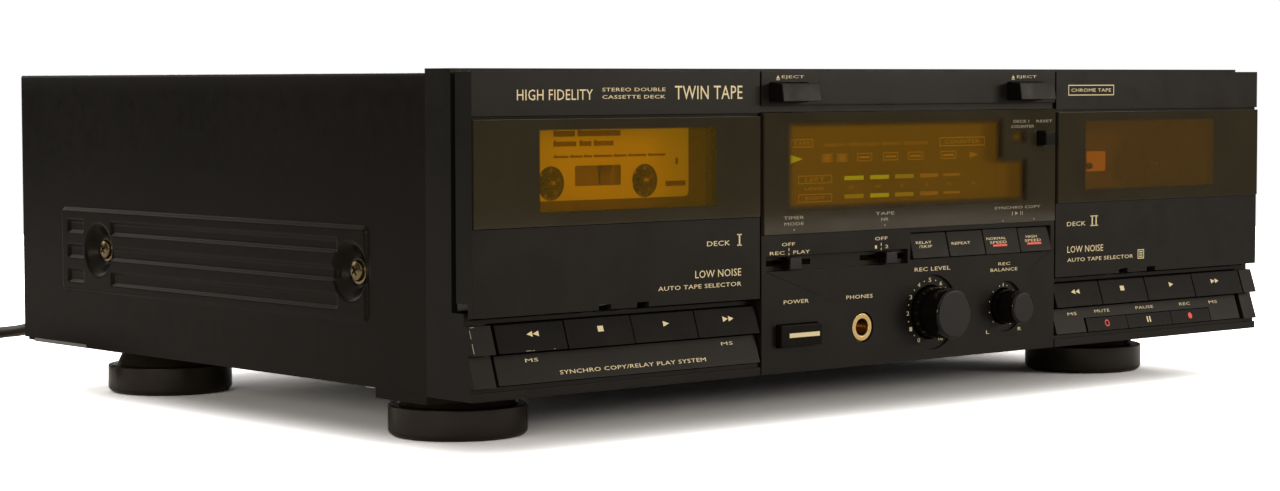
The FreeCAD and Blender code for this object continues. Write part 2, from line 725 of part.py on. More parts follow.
def feet():
    pieces = []
    for side in (-1, 1):
        for behind in ("front_foot", "rear_foot"):
            x = "foot_x * %d" % side
            pieces.append(union(taper("z", "foot_radius - 1.6", "foot_radius", 1.6, x, behind, 0),
                                rod("z", "foot_radius", 9.6, x, behind, 1.6),
                                taper("z", "foot_radius - 3.5", 17, "chassis_base - 11.2", x, behind,
                                      11.2)))
    keep("feet", union(*pieces))


def electronics():
    core = block((-150, -96), (205, 250), ("chassis_top", 66))
    winding = block((-143, -103), (196, 259), (29, 58))
    keep("power_transformer", union(core, winding))
    main = [block((-70, 190), (90, 275), (33, 34.6))]
    for x in (-60, 60, 180):
        for behind in (100, 265):
            main.append(rod("z", 3, "33 - chassis_top", x, behind, "chassis_top"))
    for step in range(5):
        main.append(rod("z", 6, 22, -50 + 16 * step, 250, 34.6))
        main.append(block((20 + 30 * step, 38 + 30 * step), (150, 157), (34.6, 38)))
    main.append(block((60, 140), (205, 209), (34.6, 64)))
    front = block((-75, 75), (25.5, 27.1), (26, 122))
    keep("circuit_boards", union(union(*main), front))


# ---------------------------------------------------------------- mains cord

# the cord's route, by hand: across, behind the front plane, above the floor
CORD_ROUTE = [
    (-170.0, 330.0, 27.0),
    (-170.0, 350.0, 22.0),
    (-170.6, 372.0, 16.4),
    (-172.5, 396.0, 14.0),
    (-177.5, 417.0, 7.6),
    (-190.0, 435.0, 3.0),
    (-212.0, 441.0, 2.6),
]


def cord_bushing():
    flange = rod("y", 7.5, 2, "cord_x", 298, "cord_height")
    neck = rod("y", 5.1, 4, "cord_x", 294.5, "cord_height")
    relief = taper("y", 5, 3.3, "relief_end - 300", "cord_x", 300, "cord_height")
    keep("cord_bushing", union(flange, neck, relief))


def rounded_path(points):
    """Straight runs joined by tangent arcs, each arc as large as its two runs allow."""
    vectors = [FreeCAD.Vector(x, read("front_y") + behind, height) for x, behind, height in points]
    edges = []
    position = vectors[0]
    radii = []
    for before, corner, after in zip(vectors[:-2], vectors[1:-1], vectors[2:]):
        arriving = (corner - before).normalize()
        leaving = (after - corner).normalize()
        half_turn = arriving.getAngle(leaving) / 2
        setback = 0.45 * min((corner - before).Length, (after - corner).Length)
        radius = setback / math.tan(half_turn)
        radii.append(radius)
        start = corner - arriving * setback
        end = corner + leaving * setback
        bisector = (leaving - arriving).normalize()
        through = corner + bisector * (radius / math.cos(half_turn) - radius)
        edges.append(Part.LineSegment(position, start).toShape())
        edges.append(Part.Arc(start, through, end).toShape())
        position = end
    edges.append(Part.LineSegment(position, vectors[-1]).toShape())
    return Part.Wire(edges), radii


def power_cord():
    path, radii = rounded_path(CORD_ROUTE)
    radius = read("cord_radius")
    tangent = path.Edges[0].tangentAt(path.Edges[0].FirstParameter)
    section = Part.Wire(Part.makeCircle(radius, path.Edges[0].Vertexes[0].Point, tangent))
    item = doc.addObject("Part::Feature", "CordTube")
    item.Shape = path.makePipeShell([section], True, False, 1)
    expected = math.pi * radius ** 2 * path.Length
    print("cord length %.1f, radii %s" % (path.Length, ["%.0f" % value for value in radii]))
    print("cord volume %.1f, section times length %.1f" % (item.Shape.Volume, expected))
    keep("power_cord", item)
    diameter = "2 * cord_radius"
    spread = "coil_turns_wide * cord_radius"
    ring = minus(rod("z", "coil_radius + %s" % spread, "coil_turns_high * %s" % diameter, "coil_x",
                     "coil_behind", 0.1),
                 rod("z", "coil_radius - %s" % spread, 40, "coil_x", "coil_behind", -5))
    keep("cord_coil", ring)


PLUG_X = -247.0
PLUG_HEIGHT = 7.6
PIN_OFFSET = 6.4
# where the plug's parts begin, behind the front plane
PINS_START = 295.0
GRIP_START = 312.0
SHOULDER_START = 338.0
RELIEF_START = 345.0
RELIEF_LENGTH = 25.0
LEAD_END = 396.0


def around_plug(half):
    return PLUG_X - half, PLUG_X + half


def power_plug():
    """A moulded plug with two flat pins, on the floor in line with the coil's outer turn, and
    the short lead between the coil and its strain relief."""
    grip = block(around_plug(11), (GRIP_START, SHOULDER_START), (PLUG_HEIGHT - 7, PLUG_HEIGHT + 7))
    shoulder = block(around_plug(7), (SHOULDER_START, RELIEF_START),
                     (PLUG_HEIGHT - 5.5, PLUG_HEIGHT + 5.5))
    relief = taper("y", 4.4, 3.2, RELIEF_LENGTH, PLUG_X, RELIEF_START, PLUG_HEIGHT)
    lead_start = RELIEF_START + RELIEF_LENGTH - 2
    lead = rod("y", "cord_radius", LEAD_END - lead_start, PLUG_X, lead_start, PLUG_HEIGHT)
    pins = []
    for offset in (-PIN_OFFSET, PIN_OFFSET):
        pins.append(block((PLUG_X + offset - 0.8, PLUG_X + offset + 0.8), (PINS_START, GRIP_START),
                          (PLUG_HEIGHT - 3.2, PLUG_HEIGHT + 3.2)))
    keep("power_plug", union(grip, shoulder, relief, lead, *pins))


front_bezel()
keys()
centre_panel()
display()
buttons()
knobs()
controls()
door(1, -1)
door(2, 1)
cassette()
mechanisms()
top_cover()
bottom_chassis()
rear_panel()
line_jacks()
case_screws()
feet()
electronics()
cord_bushing()
power_cord()
power_plug()
doc.recompute()

for item in doc.Objects:
    if "Invalid" in item.State or "Error" in item.State:
        raise RuntimeError("%s failed: %s" % (item.Label, item.State))

os.makedirs("parts", exist_ok=True)
for node, item in parts:
    if item.Shape.isNull() or not item.Shape.isValid():
        raise RuntimeError("%s has no valid shape" % node)
    item.Shape.exportStep("parts/%s.step" % node)
print("%d nodes written" % len(parts))
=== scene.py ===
"""Looks of the double cassette deck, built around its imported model.
"""

import json
import math

import bmesh
import bpy
from mathutils import Matrix, Vector


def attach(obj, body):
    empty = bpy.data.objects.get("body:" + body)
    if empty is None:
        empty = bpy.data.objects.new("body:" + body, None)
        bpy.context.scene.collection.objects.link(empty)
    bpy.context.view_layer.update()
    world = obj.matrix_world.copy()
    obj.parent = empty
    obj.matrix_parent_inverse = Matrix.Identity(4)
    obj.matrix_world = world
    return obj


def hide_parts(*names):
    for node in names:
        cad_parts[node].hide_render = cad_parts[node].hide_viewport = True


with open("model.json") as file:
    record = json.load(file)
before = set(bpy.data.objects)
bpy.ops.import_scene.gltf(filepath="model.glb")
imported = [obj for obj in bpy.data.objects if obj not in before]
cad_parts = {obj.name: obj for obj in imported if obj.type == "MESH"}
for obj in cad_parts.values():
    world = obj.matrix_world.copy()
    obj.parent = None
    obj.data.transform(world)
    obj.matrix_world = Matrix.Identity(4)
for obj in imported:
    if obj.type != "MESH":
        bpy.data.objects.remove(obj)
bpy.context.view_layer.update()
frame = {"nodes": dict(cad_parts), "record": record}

MM = 0.001
FRONT_Y = -146.5


def at(x, behind, height):
    return Vector((x, FRONT_Y + behind, height)) * MM


def add_object(name, data):
    item = bpy.data.objects.new(name, data)
    bpy.context.scene.collection.objects.link(item)
    return item


# -------- camera

LENS = 78.65
CAMERA_PLACE = (-767.6, -724.4, 124.2)
YAW = math.radians(41.03)
PITCH = math.radians(3.34)
ROLL = math.radians(-0.127)


def make_camera():
    forward = Vector((math.sin(YAW), math.cos(YAW), 0))
    right = Vector((math.cos(YAW), -math.sin(YAW), 0))
    up = Vector((0, 0, 1))
    tilted = forward * math.cos(PITCH) - up * math.sin(PITCH)
    tilted_up = up * math.cos(PITCH) + forward * math.sin(PITCH)
    rolled = right * math.cos(ROLL) + tilted_up * math.sin(ROLL)
    rolled_up = tilted_up * math.cos(ROLL) - right * math.sin(ROLL)
    data = bpy.data.cameras.new("camera")
    data.lens = LENS
    data.clip_start = 0.05
    camera = add_object("camera", data)
    axes = Matrix((rolled, rolled_up, -tilted)).transposed().to_4x4()
    camera.matrix_world = Matrix.Translation(at(*CAMERA_PLACE)) @ axes
    bpy.context.scene.camera = camera


# -------- materials

class Graph:
    """The node tree of a material or the world, built by calls that take values or sockets."""

    def __init__(self, owner, output):
        self.owner = owner
        owner.use_nodes = True
        self.nodes, self.links = owner.node_tree.nodes, owner.node_tree.links
        self.nodes.clear()
        self.end = self.nodes.new(output)

    def add(self, kind, options=None, **inputs):
        node = self.nodes.new(kind)
        for key, value in (options or {}).items():
            setattr(node, key, value)
        for key, value in inputs.items():
            self.put(node.inputs[key.replace("_", " ")], value)
        return node

    def put(self, socket, value):
        if isinstance(value, bpy.types.NodeSocket):
            self.links.new(value, socket)
        elif isinstance(value, tuple) and socket.type == "RGBA":
            socket.default_value = (*value, 1)
        else:
            socket.default_value = value

    def math(self, operation, first, second=0):
        node = self.add("ShaderNodeMath", {"operation": operation})
        self.put(node.inputs[0], first)
        self.put(node.inputs[1], second)
        return node.outputs[0]

    def noise(self, size, detail=2, roughness=0.5, place=None):
        """Noise whose features are about size millimetres across."""
        node = self.add("ShaderNodeTexNoise", Vector=place or self.place, Scale=1 / (size * MM),
                        Detail=detail, Roughness=roughness)
        return node.outputs["Fac"]

    def spread(self, value, low, high, start=0.3, end=0.7):
        """Maps start...end to low...high."""
        node = self.add("ShaderNodeMapRange", Value=value, From_Min=start, From_Max=end,
                        To_Min=low, To_Max=high)
        return node.outputs["Result"]

    def blend(self, share, first, second):
        node = self.add("ShaderNodeMix", {"data_type": "RGBA"})
        for socket, value in ((0, share), (6, first), (7, second)):
            self.put(node.inputs[socket], value)
        return node.outputs[2]

    def bump(self, height, depth, normal=None):
        node = self.add("ShaderNodeBump", Height=height, Distance=depth * MM)
        if normal is not None:
            self.put(node.inputs["Normal"], normal)
        return node.outputs["Normal"]

    def mix(self, share, first, second):
        """A shader that turns from the first into the second as share grows."""
        node = self.add("ShaderNodeMixShader", Fac=share)
        self.links.new(first.outputs[0], node.inputs[1])
        self.links.new(second.outputs[0], node.inputs[2])
        return node

    def principled(self, **inputs):
        """Ends the tree with one shader made of these inputs."""
        return self.finish(self.add("ShaderNodeBsdfPrincipled", **inputs))

    def finish(self, shader):
        self.links.new(shader.outputs[0], self.end.inputs["Surface"])
        return self.owner


def new_graph(name):
    graph = Graph(bpy.data.materials.new(name), "ShaderNodeOutputMaterial")
    graph.place = graph.add("ShaderNodeTexCoord").outputs["Object"]
    return graph


# the tints of the shine on the plastic and on the case's paint
PLASTIC_SHINE = (1, 0.96, 0.9)
PAINT_SHINE = (1, 0.9, 0.77)


def moulded(name, dark, light, rough, grain=0.35, depth=0.006, wave=0, specular=0.5):
    """Moulded plastic: faint patches of shade, grain, uneven gloss, and a slow wave if asked.

    grain is the grain's size, depth and wave are heights, all in millimetres."""
    graph = new_graph(name)
    patches = graph.noise(28, 3)
    colour = graph.blend(graph.spread(patches, 0, 1), dark, light)
    gloss = graph.spread(graph.noise(9, 4, 0.6), rough - 0.05, rough + 0.06)
    normal = graph.bump(graph.noise(grain, 2), depth)
    if wave:
        normal = graph.bump(graph.noise(22, 1), wave, normal)
    return graph.principled(
        Base_Color=colour, Roughness=gloss, Normal=normal,
        Specular_IOR_Level=specular, Specular_Tint=PLASTIC_SHINE)


def metal(name, dark, light, rough, brushed=False):
    """Plated or drawn metal with tarnish patches and fine lines or grain."""
    graph = new_graph(name)
    colour = graph.blend(graph.spread(graph.noise(7, 4, 0.6), 0, 1), dark, light)
    place = graph.place
    if brushed:
        place = graph.add("ShaderNodeMapping", Vector=graph.place).outputs[0]
        place.node.inputs["Scale"].default_value = (0.03, 1, 1)
    fine = graph.noise(0.25, 3, 0.6, place)
    gloss = graph.spread(fine, rough - 0.05, rough + 0.08)
    return graph.principled(
        Base_Color=colour, Roughness=gloss, Normal=graph.bump(fine, 0.002),
        Metallic=1)


def printed(name, colour, faded, rough=0.45, glow=0):
    """Screen print or a lit segment: slightly uneven ink that may glow; on a print the glow is
    painted light.
    """
    graph = new_graph(name)
    ink = graph.blend(graph.spread(graph.noise(0.5, 3), 0, 1, 0.25, 0.75), faded, colour)
    return graph.principled(
        Base_Color=ink, Roughness=rough, Emission_Color=ink,
        Emission_Strength=glow)


PANE_PAINT = (0.037, 0.0295, 0.0155), (0.045, 0.036, 0.0195)


def outside_of(graph, split, box):
    """How far outside a rectangle a point lies, across and in height, in metres."""
    x0, x1, z0, z1 = [value * MM for value in box]
    across = graph.math("ABSOLUTE", graph.math("SUBTRACT", split.outputs[0], (x0 + x1) / 2))
    height = graph.math("ABSOLUTE", graph.math("SUBTRACT", split.outputs[2], (z0 + z1) / 2))
    return graph.math("MAXIMUM", graph.math("SUBTRACT", across, (x1 - x0) / 2),
                      graph.math("SUBTRACT", height, (z1 - z0) / 2))


def smoked_pane(name, boxes, softness, tint, haze, mist_share):
    """A gloss plate painted olive-black behind, with amber windows left clear in it.

    boxes gives each clear rectangle as x0, x1, z0, z1 and softness half the width of its edge,
    in millimetres.  tint colours what is seen through, haze what the pane itself scatters."""
    graph = new_graph(name)
    split = graph.add("ShaderNodeSeparateXYZ", Vector=graph.place)
    outside = outside_of(graph, split, boxes[0])
    for box in boxes[1:]:
        outside = graph.math("MINIMUM", outside, outside_of(graph, split, box))
    painted = graph.spread(outside, 0, 1, -softness * MM, softness * MM)
    paint = graph.blend(graph.spread(graph.noise(30, 3), 0, 1), *PANE_PAINT)
    wipe = graph.spread(graph.noise(14, 5, 0.65), 0.04, 0.09)
    gloss = graph.add("ShaderNodeBsdfPrincipled", Base_Color=paint, Roughness=wipe,
                      Specular_IOR_Level=0.4)
    clear = graph.add("ShaderNodeBsdfTransparent", Color=tint)
    mist = graph.add("ShaderNodeBsdfDiffuse", Color=haze)
    shine = graph.add("ShaderNodeBsdfGlossy", Roughness=0.06)
    edge = graph.add("ShaderNodeFresnel", IOR=1.4).outputs[0]
    back = graph.add("ShaderNodeNewGeometry").outputs["Backfacing"]
    front_shine = graph.math("MULTIPLY", edge, graph.math("SUBTRACT", 1, back))
    window = graph.mix(front_shine, graph.mix(mist_share, clear, mist), shine)
    return graph.finish(graph.mix(painted, window, gloss))


def knob_plastic():
    """Gloss sides and a satin, finely turned face at the front of each knob."""
    graph = new_graph("knob_plastic")
    facing = graph.add("ShaderNodeTexCoord").outputs["Normal"]
    split = graph.add("ShaderNodeSeparateXYZ", Vector=facing)
    face = graph.spread(split.outputs[1], 1, 0, -0.995, -0.97)
    gloss = graph.math("MULTIPLY", face, 0.3)
    fine = graph.noise(0.3, 2)
    rough = graph.math("ADD", gloss, graph.spread(fine, 0.09, 0.14))
    colour = graph.blend(face, (0.004, 0.0034, 0.003), (0.0068, 0.006, 0.0052))
    normal = graph.bump(graph.math("MULTIPLY", fine, face), 0.008)
    return graph.principled(
        Base_Color=colour, Roughness=rough, Normal=normal,
        Specular_IOR_Level=0.3)


def case_paint():
    """Fine-textured satin black paint on sheet steel."""
    graph = new_graph("case_paint")
    colour = graph.blend(graph.spread(graph.noise(60, 3), 0, 1), (0.0046, 0.0037, 0.0026),
                         (0.0064, 0.0052, 0.0037))
    texture = graph.noise(0.7, 3, 0.6)
    swell = graph.noise(90, 1)
    rough = graph.spread(graph.noise(4, 4, 0.6), 0.28, 0.36)
    normal = graph.bump(texture, 0.018, graph.bump(swell, 0.25))
    return graph.principled(
        Base_Color=colour, Roughness=rough, Normal=normal,
        Specular_IOR_Level=0.14, Specular_Tint=PAINT_SHINE)


def display_glass():
    """The lit display tube: an even amber-brown glow behind a fine grid."""
    graph = new_graph("display_glass")
    lines = graph.add("ShaderNodeTexWave", {"wave_type": "BANDS", "bands_direction": "X"},
                      Vector=graph.place, Scale=1 / (1.4 * MM), Distortion=0)
    patch = graph.spread(graph.noise(30, 2), 0.9, 1.1)
    grid = graph.spread(lines.outputs["Fac"], 0.95, 1, 0, 1)
    glow = graph.blend(graph.math("MULTIPLY", patch, grid), (0, 0, 0), (0.084, 0.05, 0.021))
    return graph.principled(
        Base_Color=(0.01, 0.009, 0.007), Roughness=0.3,
        Emission_Color=glow, Emission_Strength=1)


def paper():
    """Paper with fine fibres and a faint painted glow in its own colour, standing in for the well's
    lamp shining through it.
    """
    graph = new_graph("label_paper")
    fibre = graph.noise(0.4, 4, 0.65)
    colour = graph.blend(graph.spread(graph.noise(25, 2), 0, 1), (0.72, 0.68, 0.6),
                         (0.82, 0.79, 0.7))
    # the emission below is a painted glow in the paper's own colour
    return graph.principled(
        Base_Color=colour, Roughness=0.6, Normal=graph.bump(fibre, 0.004),
        Emission_Color=colour, Emission_Strength=0.2)


# moulded things: dark and light shade, roughness, grain, depth, wave, specular
MOULDED = {
    "front_plastic": ((0.0104, 0.0095, 0.0083), (0.0129, 0.0119, 0.0105), 0.33, 0.3, 0.006, 0,
                      0.16),
    "key_plastic": ((0.0046, 0.0038, 0.0029), (0.006, 0.005, 0.0039), 0.3, 0.25, 0.005, 0, 0.1),
    "dark_plastic": ((0.01, 0.0093, 0.0085), (0.016, 0.015, 0.0138), 0.5, 0.35, 0.006, 0, 0.3),
    "foot_plastic": ((0.03, 0.024, 0.0178), (0.04, 0.0325, 0.0245), 0.19, 0.5, 0.003, 0.02, 0.35),
    "core_metal": ((0.05, 0.05, 0.052), (0.09, 0.088, 0.085), 0.45, 1, 0.03),
    "board": ((0.2, 0.14, 0.05), (0.27, 0.2, 0.085), 0.5, 0.8, 0.01),
    "belt_rubber": ((0.018, 0.018, 0.018), (0.028, 0.027, 0.026), 0.65),
    "cord_jacket": ((0.033, 0.026, 0.0185), (0.045, 0.036, 0.026), 0.4, 0.6, 0.012),
    "cassette_plastic": ((0.15, 0.14, 0.12), (0.2, 0.185, 0.16), 0.3),
    "reel_plastic": ((0.26, 0.235, 0.19), (0.32, 0.29, 0.24), 0.4),
    "jack_white": ((0.66, 0.65, 0.61), (0.76, 0.75, 0.71), 0.3),
    "jack_red": ((0.42, 0.016, 0.014), (0.52, 0.025, 0.02), 0.3),
}
# metals: dark and light shade, roughness, brushed or not
METALS = {
    "screw_metal": ((0.2, 0.15, 0.08), (0.36, 0.28, 0.15), 0.22),
    "gold_metal": ((0.78, 0.55, 0.22), (0.88, 0.66, 0.31), 0.2),
    "zinc_metal": ((0.52, 0.51, 0.48), (0.66, 0.65, 0.61), 0.34, True),
    "bright_metal": ((0.7, 0.7, 0.69), (0.82, 0.82, 0.81), 0.12),
}
# inks and lit segments: colour, where it is thinner, roughness, glow; the glow of the legend inks
# is painted light
PRINTED = {
    # the legends' glow below is a painted glow that brightens the print whatever lights it
    "legend_gold": ((0.95, 0.8, 0.46), (0.8, 0.66, 0.37), 0.4, 0.1),
    "legend_dim": ((0.46, 0.4, 0.28), (0.36, 0.31, 0.21), 0.4, 0.06),
    "legend_red": ((0.85, 0.07, 0.035), (0.75, 0.05, 0.025), 0.4, 0.25),
    "label_ink": ((0.2, 0.14, 0.05), (0.42, 0.33, 0.16)),
    "lamp_amber": ((0.93, 0.4, 0.01), (0.82, 0.34, 0.01), 0.3, 1),
    "display_fading": ((0.17, 0.15, 0.05), (0.14, 0.125, 0.04), 0.3, 1),
    "display_dim": ((0.15, 0.088, 0.056), (0.135, 0.08, 0.05), 0.3, 1),
    "display_green": ((0.26, 0.33, 0.055), (0.17, 0.21, 0.045), 0.3, 1),
    "display_red": ((0.34, 0.15, 0.07), (0.27, 0.12, 0.05), 0.3, 1),
    "display_print": ((0.19, 0.105, 0.055), (0.15, 0.088, 0.045), 0.3, 1),
}
MATERIALS = {"knob_plastic": knob_plastic(), "display_glass": display_glass(),
             "case_paint": case_paint(), "label_paper": paper()}
for maker, looks in ((moulded, MOULDED), (metal, METALS), (printed, PRINTED)):
    MATERIALS.update({name: maker(name, *look) for name, look in looks.items()})

HAZE = (0.27, 0.165, 0.045)
# panes: material, clear rectangles, softness, tint, haze and its share
PANE_LOOKS = {
    "door_window_1": ("door_pane_1", [(-182, -102.4, 80.7, 108.4)], 0.35, (0.95, 0.7, 0.015),
                      (0.36, 0.25, 0.022), 0.15),
    "door_window_2": ("door_pane_2", [(97.3, 179.2, 81.2, 108.5)], 0.35, (0.6, 0.44, 0.035),
                      HAZE, 0.27),
    "display_window": ("display_pane", [(-66, 48, 78.5, 109.2), (40, 62, 78.5, 93.6),
                                        (54, 61.5, 101, 104.6)], 1.5, (0.92, 0.79, 0.26),
                       HAZE, 0.05),
}
PANES = {node: smoked_pane(*look) for node, look in PANE_LOOKS.items()}


# -------- carried-over CAD nodes

# the width of the rounding along the edges of nodes, in millimetres
EDGE_GROUPS = {
    0.15: ("display_window", "door_window_1", "door_window_2"),
    0.2: ("phones_jack", "case_screws"),
    0.3: ("centre_panel", "rear_panel", "bottom_chassis", "cassette_shell"),
    0.35: ("front_bezel", "door_panel_1", "door_panel_2", "top_cover", "balance_knob",
           "timer_slider", "filter_slider", "power_button"),
    0.4: ("level_knob", "counter_reset_button", "cord_bushing"),
    0.5: ("feet",),
    1.2: ("power_plug",),
}
EDGE_WIDTH = {node: width for width, nodes in EDGE_GROUPS.items() for node in nodes}
KEY_EDGE = 0.3
SHARP = math.radians(28)
# plates with many holes, whose flat faces stay in triangles
PIERCED = {"centre_panel", "front_bezel", "top_cover", "power_plug", "pause_key", "timer_slider",
           "filter_slider", "door_panel_2"}


def soften(item, width):
    """Joins the mesh, dissolves flat seams and rounds the sharp edges."""
    weld = item.modifiers.new("Join", "WELD")
    weld.merge_threshold = 0.000002
    if item.name not in PIERCED:
        flatten = item.modifiers.new("Flatten", "DECIMATE")
        flatten.decimate_type = "DISSOLVE"
        flatten.angle_limit = math.radians(0.3)
    edge = item.modifiers.new("Edge", "BEVEL")
    edge.width = width * MM
    edge.segments = 2
    edge.limit_method = "ANGLE"
    edge.angle_limit = SHARP
    edge.use_clamp_overlap = True
    edge.miter_outer = "MITER_ARC"
    shade = item.modifiers.new("Shade", "WEIGHTED_NORMAL")
    shade.keep_sharp = False


def dress_nodes():
    slots = {row["node"]: row["material_slot"] for row in frame["record"]["subparts"]}
    for node, item in frame["nodes"].items():
        material = PANES.get(node) or MATERIALS[slots[node]]
        item.data.materials.clear()
        item.data.materials.append(material)
        if node in EDGE_WIDTH:
            soften(item, EDGE_WIDTH[node])
        elif node.endswith("_key") or "_key_" in node or node.startswith("eject_button"):
            soften(item, KEY_EDGE)


# -------- pieces

def mesh_piece(name, vertices, faces, material, body, smooth=False):
    """A piece of its own from points in metres, riding on a CAD body."""
    mesh = bpy.data.meshes.new(name)
    mesh.from_pydata([tuple(v) for v in vertices], [], faces)
    mesh.update()
    if smooth:
        mesh.shade_smooth()
    item = add_object(name, mesh)
    mesh.materials.append(MATERIALS[material])
    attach(item, body)
    return item


# the faces of a box whose corners are sorted by place across, then depth, then height
BOX_FACES = ((0, 1, 3, 2), (4, 6, 7, 5), (0, 4, 5, 1), (2, 3, 7, 6), (1, 5, 7, 3), (0, 2, 6, 4))


def polar(x, z, radius, turn):
    return x + radius * math.cos(turn), z + radius * math.sin(turn)


def box_shapes(boxes):
    """Vertices and faces of boxes given as x0, x1, front, rear, low, high; x may run down."""
    vertices, faces = [], []
    for x0, x1, front, rear, low, high in boxes:
        start = len(vertices)
        vertices += [at(x, y, z) for x in (x0, x1) for y in (front, rear) for z in (low, high)]
        way = 1 if x1 > x0 else -1
        faces += [[start + i for i in face][::way] for face in BOX_FACES]
    return vertices, faces


def turned_faces(count, size, closed=False):
    """Faces between count copies of a profile of size points that stand round an axis."""
    faces = []
    for i in range(count):
        here, there = size * i, size * ((i + 1) % count)
        for k in range(size if closed else size - 1):
            n = (k + 1) % size
            faces.append([here + k, there + k, there + n, here + n])
    return faces


def lathe(profile, place, axis, count=36, closed=False):
    """Vertices and faces of a turned shape; axis is the direction of the profile's height."""
    side = axis.orthogonal().normalized()
    other = axis.cross(side)
    vertices = []
    for i in range(count):
        turn = 2 * math.pi * i / count
        out = side * math.cos(turn) + other * math.sin(turn)
        for radius, height in profile:
            vertices.append(place + (out * radius + axis * height) * MM)
    return vertices, turned_faces(count, len(profile), closed)


def cut_away(item, cutter, use_self=False):
    """Cuts one object's shape out of another's mesh for good, and removes the cutter."""
    cut = item.modifiers.new("Cut", "BOOLEAN")
    cut.object = cutter
    cut.solver = "EXACT"
    cut.use_self = use_self
    shown = item.evaluated_get(bpy.context.evaluated_depsgraph_get())
    item.data = bpy.data.meshes.new_from_object(shown)
    item.data.name = item.name
    item.modifiers.clear()
    bpy.data.objects.remove(cutter)


def rounded_outline(x0, x1, z0, z1, radius, steps=6):
    points = []
    for cx, cz, start in ((x1 - radius, z0 + radius, -90), (x1 - radius, z1 - radius, 0),
                          (x0 + radius, z1 - radius, 90), (x0 + radius, z0 + radius, 180)):
        for i in range(steps + 1):
            turn = math.radians(start + 90 * i / steps)
            points.append(polar(cx, cz, radius, turn))
    return points


# the share of its line's height that a capital fills
CAPITALS = 0.82
# how deep the ink's back lies behind its face, in thicknesses
INK_BACK = 1.3


class Print:
    """Ink on a surface: letters and plain shapes, gathered into one mesh per colour and body.

    surface gives how far behind the front plane the printed surface lies, as a number or as a
    function of the height."""

    def __init__(self, name, material, body, surface, thickness=0.03):
        self.name, self.material, self.body = name, material, body
        self.surface, self.thickness = surface, thickness
        self.vertices, self.faces = [], []

    def add(self, points, faces):
        """points are (across, height, depth share), with the share 0 at the ink's face."""
        start = len(self.vertices)
        for across, height, share in points:
            base = self.surface(height) if callable(self.surface) else self.surface
            self.vertices.append(at(across, base - self.thickness * (1 - share), height))
        self.faces += [[start + i for i in face] for face in faces]

    def shape(self, outline):
        """A filled outline given as (across, height), anticlockwise seen from the front."""
        count = len(outline)
        points = [(x, z, share) for share in (0, INK_BACK) for x, z in outline]
        faces = [list(range(count)), list(range(2 * count - 1, count - 1, -1))]
        for i in range(count):
            j = (i + 1) % count
            faces.append([i, i + count, j + count, j])
        self.add(points, faces)

    def bar(self, x0, x1, z0, z1):
        self.shape([(x0, z0), (x1, z0), (x1, z1), (x0, z1)])

    def frame(self, x0, x1, z0, z1, line):
        self.bar(x0, x1, z0, z0 + line)
        self.bar(x0, x1, z1 - line, z1)
        self.bar(x0, x0 + line, z0 + line, z1 - line)
        self.bar(x1 - line, x1, z0 + line, z1 - line)

    def triangle(self, x0, x1, z0, z1):
        """Points to the right where x1 is the greater, else to the left."""
        middle = (z0 + z1) / 2
        outline = [(x0, z0), (x1, middle), (x0, z1)]
        self.shape(outline if x1 > x0 else outline[::-1])

    def disc(self, x, z, radius, count=20):
        self.shape([polar(x, z, radius, 2 * math.pi * i / count) for i in range(count)])

    def ring(self, x, z, outer, inner, count=28):
        points = []
        section = ((outer, 0), (inner, 0), (inner, INK_BACK), (outer, INK_BACK))
        for i in range(count):
            turn = 2 * math.pi * i / count
            for radius, share in section:
                points.append((*polar(x, z, radius, turn), share))
        self.add(points, turned_faces(count, len(section), True))

    def text(self, words, x0, x1, z0, z1):
        """Capitals from x0 to x1, on a line of the given low and high edge."""
        curve = bpy.data.curves.new("words", "FONT")
        curve.body = words
        curve.extrude = 0.01
        curve.resolution_u = 2
        curve.space_character = 1.05
        item = add_object("words", curve)
        shown = item.evaluated_get(bpy.context.evaluated_depsgraph_get())
        mesh = bpy.data.meshes.new_from_object(shown)
        xs = [v.co.x for v in mesh.vertices]
        ys = [v.co.y for v in mesh.vertices]
        wide = (x1 - x0) / (max(xs) - min(xs))
        tall = (z1 - z0) * CAPITALS / (max(ys) - min(ys))
        base = z0 + (z1 - z0) * (1 - CAPITALS) / 2
        points = []
        for v in mesh.vertices:
            share = 0 if v.co.z > 0 else INK_BACK
            points.append((x0 + (v.co.x - min(xs)) * wide, base + (v.co.y - min(ys)) * tall, share))
        self.add(points, [list(face.vertices) for face in mesh.polygons])
        bpy.data.objects.remove(item)
        bpy.data.curves.remove(curve)
        bpy.data.meshes.remove(mesh)

    def make(self):
        return mesh_piece(self.name, self.vertices, self.faces, self.material, self.body)


# -------- pressed steel cover

HALF_WIDTH = 210
COVER_START, COVER_BACK = 25.3, 299.1
COVER_BASE, COVER_TOP = 20, 127.5
REAR_BASE, REAR_BASE_START = 21.2, 249.7
SHEET = 1
CORNER = 1
# the raised panel (start, end, low, high), its grooves, and the width of the pressed slopes
PLATEAU, PLATEAU_CORNER = (58, 267, 42, 75.3), 2.5
SLOPE = 1.3
GROOVE_SPANS = ((75.4, 228.6), (249, 261.5))
GROOVE_TOPS = (70.8, 60.9, 51.2)
GROOVE_HIGH = 5.6
GROOVE_DEPTH = 0.85
SCREWS = (68, 237.8)
SCREW_HEIGHT = 59.3
DISH_MOUTH, DISH_FLAT, DISH_DEPTH = 10.9, 4.7, 4.3


def step_up(value):
    value = min(1, max(0, value))
    return value * value * (3 - 2 * value)


def inside_box(u, v, box, radius):
    """How far inside a rectangle with rounded corners a point lies; negative outside."""
    u0, u1, v0, v1 = box
    du = abs(u - (u0 + u1) / 2) - (u1 - u0) / 2 + radius
    dv = abs(v - (v0 + v1) / 2) - (v1 - v0) / 2 + radius
    return radius - math.hypot(max(du, 0), max(dv, 0)) - min(max(du, dv), 0)


